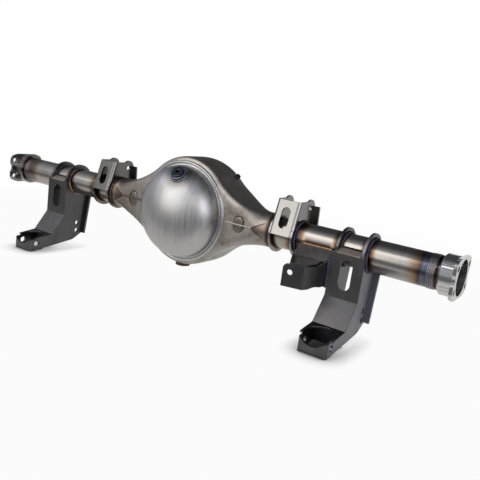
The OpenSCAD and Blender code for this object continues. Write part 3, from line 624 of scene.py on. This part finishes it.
def banjo_steel():
    """The finish of the two pressed halves."""
    hues = bpy.context.scene.axle_colours
    return steel("bare_banjo", hues.banjo, 0.4, (60, 60, 9), 0.18, hues.stain, 0.3, 16.0,
                 NECK_WELDS, extra=banjo_marks)


def dome_steel():
    """The brushed finish of the dome."""
    hues = bpy.context.scene.axle_colours
    return steel("bare_dome", hues.dome, 0.4, (150, 40, 9), 0.24, (0.33, 0.325, 0.32), 0.2, 11.0,
                 extra=filler_halo)


def tube_steel():
    """The finish of the axle tubes."""
    hues = bpy.context.scene.axle_colours
    return steel("bare_tube", hues.tube, 0.25, (420, 14, 14), 0.15, hues.stain, 0.14, 20.0, TUBE_WELDS,
                 bump=0.03, rough_grain=0.05, extra=tube_marks)


def left_bracket_painted_shade(tree, split, shade):
    """Painted shade: the left upper bracket is painted darker than the right one."""
    left = spread(tree, split[0], RIGHT_SIDE, LEFT_SIDE, 0.0, 0.55)
    return blend(tree, left, shade, (0.1, 0.095, 0.09))


def plate_steel():
    """The finish of the upper brackets, with painted shade on the left one."""
    hues = bpy.context.scene.axle_colours
    return steel("bright_plate", hues.plate, 0.26, (60, 60, 10), 0.08, (0.2, 0.18, 0.155), 0.2, 14.0,
                 near_tube=0.008, bump=0.0, rough_grain=0.03, extra=left_bracket_painted_shade)


def side_steel():
    """The blue-grey finish of the right lower bracket's outer plate, painted lighter than the other lower
    plates as painted light; the blue-grey tone is the plate's own.
    """
    hues = bpy.context.scene.axle_colours
    return steel("side_plate", hues.side, 0.46, (70, 70, 12), 0.14, (0.11, 0.105, 0.105), 0.24, 18.0,
                 near_tube=0.006, bump=0.03, rough_grain=0.05)


def tongue_cover(tree, split):
    """The sloped tongues that lead from the lower face plates up to the tubes."""
    middle, half_width = 0.4895, 0.0286
    side = maths(tree, "ABSOLUTE", maths(tree, "SUBTRACT", maths(tree, "ABSOLUTE", split[0]), middle))
    high = spread(tree, split[2], -0.002, 0.0004)
    return maths(tree, "MULTIPLY", high, maths(tree, "LESS_THAN", side, half_width))


def tongue_painted_light(tree, split, shade):
    """Painted light: the tongues are painted lighter than the plates."""
    return blend(tree, tongue_cover(tree, split), shade, (0.36, 0.305, 0.26))


def rough_tongue(tree, split, roughness):
    """The tongues are rougher than the plates."""
    return maths(tree, "MULTIPLY_ADD", tongue_cover(tree, split), 0.2, roughness)


def scale_steel():
    """The dark mill scale of the lower brackets and the track-bar bracket, with painted light on the
    tongues.
    """
    hues = bpy.context.scene.axle_colours
    return steel("scaled_plate", hues.scale, 0.32, (70, 70, 12), 0.2, (0.08, 0.073, 0.07), 0.3, 18.0,
                 near_tube=0.006, bump=0.03, rough_grain=0.06, extra=tongue_painted_light, worn=rough_tongue)


def smoked_ridge(tree, split, shade):
    """The left end's ridges are browner than the right end's."""
    left = spread(tree, split[0], RIGHT_SIDE, LEFT_SIDE, 0.0, 0.7)
    return blend(tree, left, shade, (0.12, 0.085, 0.06))


def left_end_painted_shade(tree, split, shade):
    """Painted shade: the left bearing end is painted a darker brown-grey than the right one."""
    left = spread(tree, split[0], -0.66, -0.68, 0.0, 0.75)
    return blend(tree, left, shade, (0.15, 0.135, 0.12))


def dull_bore(tree, split, roughness):
    """The bored insides are duller than the turned outsides."""
    y = maths(tree, "MULTIPLY", split[1], split[1])
    out = maths(tree, "SQRT", maths(tree, "MULTIPLY_ADD", split[2], split[2], y))
    within = maths(tree, "LESS_THAN", out, BORE_OUTSIDE)
    beyond = maths(tree, "GREATER_THAN", maths(tree, "ABSOLUTE", split[0]), BORE_START)
    inside = maths(tree, "MULTIPLY", within, beyond)
    return maths(tree, "MULTIPLY_ADD", inside, 0.12, roughness)


def machined_steel():
    """The turned finish of the bearing ends, with painted shade on the left one."""
    hues = bpy.context.scene.axle_colours
    return steel("turned_steel", hues.machined, 0.12, (500, 12, 12), 0.08, welds=END_WELDS,
                 bump=0.0, rough_grain=0.03, extra=left_end_painted_shade, worn=dull_bore)


def dress_node(name, material):
    """Gives a CAD node that stays a better finish."""
    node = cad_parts[name]
    if not node.material_slots:
        node.data.materials.append(material)
    for place in node.material_slots:
        place.material = material


# Operators


class AXLE_OT_banjo(bpy.types.Operator):
    """The two pressed halves of the housing's middle"""

    bl_idname = "axle.banjo"
    bl_label = "Pressed halves"

    def execute(self, context):
        s = context.scene.axle_sizes
        for name, up in (("banjo_upper_", 1), ("banjo_lower_", -1)):
            shell = mapped_grid(name + "shell", 150, 56, self.surface(s, up), closed=False)
            wall = shell.modifiers.new("Wall", "SOLIDIFY")
            wall.thickness = s.belly_wall
            wall.offset = -1
            wall.use_even_offset = True
            apply_modifiers(shell)
            far = 0.2
            back = s.rim_r - 0.0215
            rear = [(0, -far), (s.rim_r, -far), (s.rim_r, -s.rim_seat), (back, -s.rim_seat),
                    (back, 0), (0, 0)]
            mouth = s.opening_r + 0.0015
            front = [(0, far), (s.ring_r, far), (s.ring_r, s.ring_seat), (mouth, s.ring_seat),
                     (mouth, 0), (0, 0)]
            for profile in (rear, front):
                cut(shell, revolved("cutter", profile, 144, "Y", (s.belly_x, 0, 0)))
            parts = [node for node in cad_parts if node.startswith(name)]
            finish_piece(shell, banjo_steel(), parts, 40)
        return {"FINISHED"}

    @staticmethod
    def surface(s, up):
        """The outer surface of one half as a function of two steps from 0 to 1."""
        def square(value, power):
            return math.copysign(abs(value) ** (2 / power), value)

        def place(u, v):
            x = s.neck_x * (2 * u - 1)
            side = -1 if x < s.belly_x else 1
            reach = s.neck_x - s.neck_straight - side * s.belly_x
            d = abs(x - s.belly_x)
            r, h = s.belly_r, s.neck_r
            flare = (reach**2 + h**2 - r**2) / (2 * (r - h))
            touch = r * reach / (r + flare)
            if d < touch:
                high = math.sqrt(r**2 - d**2)
            elif d < reach:
                high = h + flare - math.sqrt(flare**2 - (reach - d) ** 2)
            else:
                high = h
            if d < s.full_depth_x:
                w = 1.0
            elif d > reach:
                w = 0.0
            else:
                w = 0.5 + 0.5 * math.cos(math.pi * (d - s.full_depth_x) / (reach - s.full_depth_x))
            angle = math.pi * (1 - v if up > 0 else v)
            c, e = math.cos(angle), math.sin(angle)
            depth, power = (s.belly_front, 6) if c > 0 else (s.belly_rear, 10)
            depth = h + (depth - h) * w
            power = 2 + (power - 2) * w
            return (x, depth * square(c, power), up * high * square(max(e, 0), power))

        return place


class AXLE_OT_dome(bpy.types.Operator):
    """The round dome with its beaded rim"""

    bl_idname = "axle.dome"
    bl_label = "Dome"

    def execute(self, context):
        s = context.scene.axle_sizes
        dome = revolved("rear_dome_shell", self.profile(s), 176, "Y", (s.belly_x, 0, 0))
        finish_piece(dome, dome_steel(), ["rear_dome"], 50)
        return {"FINISHED"}

    @staticmethod
    def profile(s):
        """Radius and place of the dome's section, from the crown to the rim and back inside."""
        arm = s.dome_r - s.dome_shoulder_r
        drop = math.sqrt((s.dome_crown_r - s.dome_shoulder_r) ** 2 - arm**2)
        lean = math.atan2(drop, arm)

        def arcs(inset):
            crown = s.dome_crown_r - inset
            round_r = s.dome_shoulder_r - inset
            out = []
            for i in range(22):
                t = math.pi / 2 + (lean - math.pi / 2) * i / 21
                out.append((crown * math.cos(t), s.dome_skirt - drop + crown * math.sin(t)))
            for i in range(1, 25):
                t = lean * (1 - i / 24)
                out.append((arm + round_r * math.cos(t), s.dome_skirt + round_r * math.sin(t)))
            return out

        points = arcs(0)
        foot = 0.0025
        for i in range(6):
            t = math.pi + math.pi / 2 * i / 5
            points.append((s.dome_r + foot + foot * math.cos(t), s.rim_t + foot + foot * math.sin(t)))
        bead = s.rim_r - s.bead_r - 0.0006
        for i in range(13):
            t = math.pi * (1 - i / 12)
            points.append((bead + s.bead_r * math.cos(t), s.rim_t + s.bead_r * math.sin(t)))
        points += [(s.rim_r, s.rim_t - 0.0005), (s.rim_r, 0), (s.dome_r - s.dome_wall, 0)]
        points += list(reversed(arcs(s.dome_wall)))
        return [(max(r, 0.0), -s.rim_seat - h) for r, h in points]


class AXLE_OT_seams(bpy.types.Operator):
    """The weld seam between the halves, with its oval ties"""

    bl_idname = "axle.seams"
    bl_label = "Seams and ties"

    def execute(self, context):
        s = context.scene.axle_sizes
        place = AXLE_OT_banjo.surface(s, 1)
        for side, tag in ((1, "right"), (-1, "left")):
            for v, face, first, last in ((0.0, "rear", 0.139, 0.222), (1.0, "front", 0.126, 0.272)):
                run = []
                for i in range(75):
                    x = side * (first + (last - first) * i / 74)
                    y = place((x / s.neck_x + 1) / 2, v)[1]
                    run.append((x, y, 0.0012))
                bead = bead_along(f"seam_{face}_{tag}", run, 0.0023, 0.005)
                # the right seam bead is painted light as a painted highlight, the left one dark as painted
                # shade
                if side > 0:
                    shade = plain("seam_metal", (0.5, 0.46, 0.4), 0.3)
                else:
                    shade = plain("seam_dull", (0.1, 0.09, 0.08), 0.35)
                finish_piece(bead, shade, (), BEAD_ANGLE)
        for x, z, tag in ((0.184, 0.003, "right"), (-0.177, 0.001, "left")):
            depth = -place((x / s.neck_x + 1) / 2, 0.0)[1]

            def spot(u, v):
                t = 2 * math.pi * v
                rise = 0.0012 * (1 - u**4) - 0.0015 * u**8
                across, high = TIE_WIDE * u * math.cos(t), TIE_HIGH * u * math.sin(t)
                return (x + across, -depth - rise + 0.0001, z + high)

            rim = []
            for i in range(61):
                t = math.pi * i / 30
                rim.append((x + TIE_WIDE * math.cos(t), -depth + 0.0002, z + TIE_HIGH * math.sin(t)))
            edge = bead_along("oval_edge_" + tag, rim, 0.0012, 0.004)
            dark = plain("tie_edge", (0.026, 0.022, 0.019), 0.45)
            finish_piece(edge, dark, (), BEAD_ANGLE)
            tie = mapped_grid("oval_tie_" + tag, 10, 40, spot, closed=False)
            brown = steel("tie_steel", (0.17, 0.145, 0.12), 0.4, (60, 60, 60), 0.3)
            finish_piece(tie, brown, (), BEAD_ANGLE)
        return {"FINISHED"}


class AXLE_OT_tubes(bpy.types.Operator):
    """The axle tubes and the bearing ends"""

    bl_idname = "axle.tubes"
    bl_label = "Tubes and ends"

    def execute(self, context):
        edge = context.scene.axle_sizes.edge
        for side in ("left", "right"):
            eased_copy("axle_tube_" + side, edge, tube_steel())
            eased_copy("bearing_end_" + side, edge, machined_steel())
        return {"FINISHED"}


class AXLE_OT_welds(bpy.types.Operator):
    """The weld beads round the tubes"""

    bl_idname = "axle.welds"
    bl_label = "Ring welds"

    def execute(self, context):
        s = context.scene.axle_sizes
        hues = context.scene.axle_colours
        # name, place along the axle, radius of the ring, radius of the bead, number of ripples
        rings = [("neck", s.neck_x + 0.0012, 0.0402, 0.0036, 44),
                 ("upper_outer", 0.3417, 0.0394, 0.003, 40),
                 ("lower_a", 0.4528, 0.0394, 0.003, 40), ("lower_b", 0.4618, 0.0394, 0.003, 40),
                 ("lower_c", 0.5172, 0.0394, 0.003, 40), ("lower_d", 0.5262, 0.0394, 0.003, 40)]
        rings += [(f"end_{i}", 0.6605 + 0.0042 * i, 0.0371, 0.0022, 20) for i in range(4)]
        for side, tag in ((1, "right"), (-1, "left")):
            for name, x, ring, radius, ripples in rings:
                ridge = name.startswith("end")
                swell = 0.03 if ridge else 0.2
                bead = bead_ring(f"weld_{name}_{tag}", side * x, ring, radius, ripples, swell)
                if ridge:
                    shade = steel("blued_weld", hues.blued, 0.36, (60, 60, 60), 0.25,
                                  bump=0.0, extra=smoked_ridge)
                elif side < 0 and name in ("neck", "lower_a"):
                    shade = weld_metal("weld_bright", 0.42)
                else:
                    shade = weld_metal("weld_metal", 0.2)
                finish_piece(bead, shade, (), BEAD_ANGLE)
        return {"FINISHED"}


class AXLE_OT_line_welds(bpy.types.Operator):
    """The welds of the track-bar bracket and of the filler, and the small nipple on the neck"""

    bl_idname = "axle.line_welds"
    bl_label = "Line welds"

    def execute(self, context):
        def line(a, b, steps):
            a, b = Vector(a), Vector(b)
            return [a.lerp(b, i / steps) for i in range(steps + 1)]

        top_run = line((0.367, -0.0405, -0.0025), (0.446, -0.0405, -0.0025), 70)
        seam = bead_along("weld_saddle_top", top_run, 0.0036, 0.006)
        finish_piece(seam, weld_metal("copper_weld", 0.6), (), BEAD_ANGLE)
        side_run = line((0.4462, -0.0525, -0.012), (0.4462, -0.0525, -0.09), 76)
        side = bead_along("weld_saddle_side", side_run, 0.0042, 0.0062)
        finish_piece(side, weld_metal("weld_metal", 0.2), (), BEAD_ANGLE)
        bpy.ops.object.select_all(action="DESELECT")
        bpy.ops.mesh.primitive_uv_sphere_add(
            segments=20, ring_count=12, radius=0.0042, location=(0.246, -0.016, 0.0402),
        )
        bpy.ops.object.transform_apply(location=True, rotation=True, scale=True)
        nipple = context.object
        nipple.name = "neck_nipple"
        black = plain("black_oxide", context.scene.axle_colours.black, 0.1)
        finish_piece(nipple, black, (), BEAD_ANGLE)
        bead = bead_along("weld_filler", self.filler_run(context.scene.axle_sizes), 0.003, 0.005)
        finish_piece(bead, plain("black_weld", (0.17, 0.19, 0.22), 0.2), (), BEAD_ANGLE)
        return {"FINISHED"}

    @staticmethod
    def filler_run(s):
        """The line on the dome round the filler bung."""
        arm = s.dome_r - s.dome_shoulder_r
        drop = math.sqrt((s.dome_crown_r - s.dome_shoulder_r) ** 2 - arm**2)
        split = s.dome_crown_r * math.cos(math.atan2(drop, arm))
        tilt = math.sqrt(0.5)
        axis, up = Vector((0, -tilt, tilt)), Vector((0, tilt, tilt))
        centre = Vector((s.filler_x, -s.filler_y, s.filler_z))

        def outside(p):
            r = math.hypot(p.x - s.belly_x, p.z)
            if r < split:
                high = s.dome_skirt - drop + math.sqrt(s.dome_crown_r**2 - r**2)
            else:
                high = s.dome_skirt + math.sqrt(max(s.dome_shoulder_r**2 - (r - arm) ** 2, 0))
            return -s.rim_seat - p.y > high

        run = []
        for i in range(101):
            angle = 2 * math.pi * i / 100 + math.pi / 2
            spoke = Vector((1, 0, 0)) * math.cos(angle) + up * math.sin(angle)
            spoke = centre + spoke * (s.filler_r + 0.0006)
            low, high = -0.03, 0.03
            for _ in range(30):
                middle = (low + high) / 2
                if outside(spoke + axis * middle):
                    high = middle
                else:
                    low = middle
            run.append(spoke + axis * low)
        return run


class AXLE_OT_plates(bpy.types.Operator):
    """The plates of the link, shock and track-bar brackets"""

    bl_idname = "axle.plates"
    bl_label = "Bracket plates"

    def execute(self, context):
        s = context.scene.axle_sizes
        names = ["track_bar_saddle", "track_bar_tab", "track_bar_gusset"]
        for side in ("left", "right"):
            names += [part + side for part in (
                "upper_bracket_", "lower_inner_plate_", "lower_outer_plate_", "lower_face_plate_",
                "foot_strap_", "pocket_wall_",
            )]
        for name in names:
            if name.startswith("upper"):
                finish = plate_steel()
            elif name.startswith("pocket"):
                # the pocket walls are painted near-black as painted shade inside the shock pockets
                finish = plain("dark_scale", (0.03, 0.03, 0.032), 0.6)
            elif name == "lower_outer_plate_right":
                finish = side_steel()
            else:
                finish = scale_steel()
            eased_copy(name, s.edge, finish)
        return {"FINISHED"}


class AXLE_OT_fittings(bpy.types.Operator):
    """The finish of the plugs, the vent, the carrier ring and its studs"""

    bl_idname = "axle.fittings"
    bl_label = "Fittings"

    def execute(self, context):
        hues = context.scene.axle_colours
        filler_edge = 0.0018
        eased_copy("filler_bung", filler_edge, plain("blue_oxide", (0.17, 0.19, 0.22), 0.14))
        eased_copy("filler_plug", filler_edge, plain("black_oxide", hues.black, 0.1))
        for name in ("drain_bung", "drain_plug"):
            dress_node(name, plain("drain_brown", hues.drain, 0.35))
        dress_node("vent_fitting", plain("black_oxide", hues.black, 0.1))
        dress_node("carrier_ring", banjo_steel())
        dress_node("carrier_studs", plain("stud_zinc", hues.stud, 0.3))
        return {"FINISHED"}


class AXLE_OT_stage(bpy.types.Operator):
    """The floor, the soft light and the camera"""

    bl_idname = "axle.stage"
    bl_label = "Stage"

    def execute(self, context):
        st = context.scene.axle_stage
        bpy.ops.object.select_all(action="DESELECT")
        bpy.ops.mesh.primitive_plane_add(size=16, location=(0, 0, CAD_BOX[0][2] - 0.0005))
        floor = context.object
        floor.name = "floor"
        bpy.ops.object.transform_apply(location=True, rotation=True, scale=True)
        floor.data.materials.append(self.floor_finish())
        self.room(context.scene, st)
        # name, azimuth, elevation, distance, width, height, level and tint of each soft box
        self.soft_box("soft_box_left", -28, 9.5, 5.0, 2.6, 2.0, st.box_level, (1.0, 0.98, 0.94))
        self.soft_box("soft_box_high", -35, 37, 6.0, 4.2, 3.2, 0.85 * st.box_level, (1.0, 0.98, 0.95))
        self.soft_box("soft_box_back", 168, 14, 6.0, 4.0, 2.0, 0.3 * st.box_level, (0.97, 0.98, 1.0))
        self.soft_box("soft_box_front", 15, 19, 6.0, 3.4, 2.0, 0.4 * st.box_level, (1.0, 0.99, 0.98))
        self.soft_box("soft_box_right", 62, 18, 6.0, 4.6, 3.0, 0.9 * st.box_level, (0.97, 0.96, 1.0))
        self.camera(context.scene, st)
        context.scene.view_settings.view_transform = "Standard"
        return {"FINISHED"}

    @staticmethod
    def seen(tree, mirror):
        """1 where the camera sees a surface itself or through something, a share of it in metal."""
        path = add(tree, "ShaderNodeLightPath")
        mirror = maths(tree, "MULTIPLY", path.outputs["Is Glossy Ray"], mirror)
        both = maths(tree, "MAXIMUM", path.outputs["Is Camera Ray"], path.outputs["Is Transmission Ray"])
        return maths(tree, "MAXIMUM", both, mirror)

    @staticmethod
    def pocket_floor(tree, split):
        """1 on the floor inside the two shock pockets, which lie in deep shadow."""
        x, depth = split[0], split[1]
        lean = maths(tree, "MULTIPLY_ADD", depth, 0.47, maths(tree, "ADD", x, 0.0775))
        right = maths(tree, "MULTIPLY", spread(tree, lean, 0.4605, 0.4645), spread(tree, x, 0.518, 0.514))
        left = maths(tree, "MULTIPLY", spread(tree, x, -0.518, -0.514), spread(tree, x, -0.461, -0.465))
        rear = maths(tree, "MULTIPLY_ADD", maths(tree, "SIGN", x), 0.026, -0.086)
        ends = maths(tree, "SUBTRACT", depth, rear)
        pocket = maths(tree, "MAXIMUM", right, left)
        pocket = maths(tree, "MULTIPLY", pocket, spread(tree, depth, -0.167, -0.161))
        return maths(tree, "MULTIPLY", pocket, spread(tree, ends, 0.002, -0.004))

    def floor_finish(self):
        """A pale floor that keeps the shadow; metal sees it pale below and behind, dim in front."""
        material = bpy.data.materials.new("pale_floor")
        material.use_nodes = True
        tree = material.node_tree
        tree.nodes.clear()
        mat = add(tree, "ShaderNodeBsdfDiffuse", {"Color": (0.26, 0.26, 0.26, 1)})
        near = add(tree, "ShaderNodeAmbientOcclusion", {"Distance": 0.05}, samples=8)
        place = add(tree, "ShaderNodeTexCoord").outputs["Object"]
        split = add(tree, "ShaderNodeSeparateXYZ", {0: place}).outputs
        depth = split[1]
        shadow = maths(tree, "MULTIPLY_ADD", self.pocket_floor(tree, split), -0.95, 1.0)
        light = maths(tree, "MULTIPLY", maths(tree, "POWER", near.outputs["AO"], 1.5), shadow)
        glow = add(tree, "ShaderNodeEmission", {"Color": (1, 1, 1, 1), "Strength": light})
        away = add(tree, "ShaderNodeVectorMath", {0: place}, operation="LENGTH").outputs["Value"]
        share = self.seen(tree, spread(tree, depth, -0.5, -0.2, 0.05, 0.8))
        share = maths(tree, "MULTIPLY", share, spread(tree, away, 0.9, 2.2, 0.96, 1.0))
        both = add(tree, "ShaderNodeMixShader", {0: share, 1: mat.outputs[0], 2: glow.outputs[0]})
        add(tree, "ShaderNodeOutputMaterial", {0: both.outputs[0]})
        return material

    def room(self, scene, st):
        """White behind the object, a dim room around it that is darkest high at the back."""
        world = bpy.data.worlds.new("studio")
        world.use_nodes = True
        scene.world = world
        tree = world.node_tree
        tree.nodes.clear()
        way = add(tree, "ShaderNodeTexCoord").outputs["Generated"]
        rise = add(tree, "ShaderNodeVectorMath", {0: way, 1: (0, 0.7, 0.7)}, operation="DOT_PRODUCT")
        rise = rise.outputs["Value"]
        level = maths(tree, "MULTIPLY", spread(tree, rise, 0.25, 0.8, 1.0, 0.12), st.around)
        dim = add(tree, "ShaderNodeBackground", {"Color": (0.91, 0.96, 1.1, 1), "Strength": level})
        white = add(tree, "ShaderNodeBackground", {"Color": (1, 1, 1, 1), "Strength": 1.0})
        share = self.seen(tree, 0.03)
        both = add(tree, "ShaderNodeMixShader", {0: share, 1: dim.outputs[0], 2: white.outputs[0]})
        add(tree, "ShaderNodeOutputWorld", {0: both.outputs[0]})

    @staticmethod
    def soft_box(name, azimuth, elevation, distance, width, height, level, tint):
        """An even panel of light that faces the object."""
        a, e = math.radians(azimuth), math.radians(elevation)
        away = Vector((math.sin(a) * math.cos(e), -math.cos(a) * math.cos(e), math.sin(e)))
        bpy.ops.object.light_add(type="AREA", location=away * distance)
        lamp = bpy.context.object
        lamp.name = name
        lamp.rotation_euler = away.to_track_quat("Z", "Y").to_euler()
        lamp.data.shape = "RECTANGLE"
        lamp.data.size = width
        lamp.data.size_y = height
        lamp.data.energy = level * math.pi * width * height
        lamp.data.color = tint

    @staticmethod
    def camera(scene, st):
        """The camera at the photo's place."""
        a, e, r = st.camera_turn
        ahead = Vector((-math.sin(a) * math.cos(e), math.cos(a) * math.cos(e), -math.sin(e)))
        right = Vector((math.cos(a), math.sin(a), 0))
        up = right.cross(ahead)
        right, up = math.cos(r) * right + math.sin(r) * up, math.cos(r) * up - math.sin(r) * right
        bpy.ops.object.camera_add(location=st.camera_place)
        camera = bpy.context.object
        camera.name = "photo_camera"
        turn = Matrix((right, up, -ahead)).transposed()
        camera.matrix_world = Matrix.Translation(st.camera_place) @ turn.to_4x4()
        camera.data.sensor_width = 36
        camera.data.lens = st.lens
        camera.data.clip_start = 0.01
        camera.data.clip_end = 100
        scene.camera = camera


class AXLE_PT_panel(bpy.types.Panel):
    """Sizes, colours and building steps of the axle housing"""

    bl_idname = "AXLE_PT_panel"
    bl_label = "Axle housing"
    bl_space_type = "VIEW_3D"
    bl_region_type = "UI"
    bl_category = "Axle housing"

    def draw(self, context):
        for operator in STEPS:
            self.layout.operator(operator.bl_idname)
        for group in (context.scene.axle_sizes, context.scene.axle_colours, context.scene.axle_stage):
            box = self.layout.box()
            for key in group.__annotations__:
                box.prop(group, key)


STEPS = (AXLE_OT_banjo, AXLE_OT_dome, AXLE_OT_seams, AXLE_OT_tubes, AXLE_OT_welds, AXLE_OT_line_welds,
         AXLE_OT_plates, AXLE_OT_fittings, AXLE_OT_stage)
CLASSES = (HousingSizes, HousingColours, HousingStage, *STEPS, AXLE_PT_panel)


def register():
    for item in CLASSES:
        bpy.utils.register_class(item)
    bpy.types.Scene.axle_sizes = bpy.props.PointerProperty(type=HousingSizes)
    bpy.types.Scene.axle_colours = bpy.props.PointerProperty(type=HousingColours)
    bpy.types.Scene.axle_stage = bpy.props.PointerProperty(type=HousingStage)


def unregister():
    del bpy.types.Scene.axle_stage
    del bpy.types.Scene.axle_colours
    del bpy.types.Scene.axle_sizes
    for item in reversed(CLASSES):
        bpy.utils.unregister_class(item)


def main():
    """Builds everything in order."""
    register()
    bpy.ops.axle.banjo()
    bpy.ops.axle.dome()
    bpy.ops.axle.seams()
    bpy.ops.axle.tubes()
    bpy.ops.axle.welds()
    bpy.ops.axle.line_welds()
    bpy.ops.axle.plates()
    bpy.ops.axle.fittings()
    bpy.ops.axle.stage()


if __name__ == "__main__":
    main()
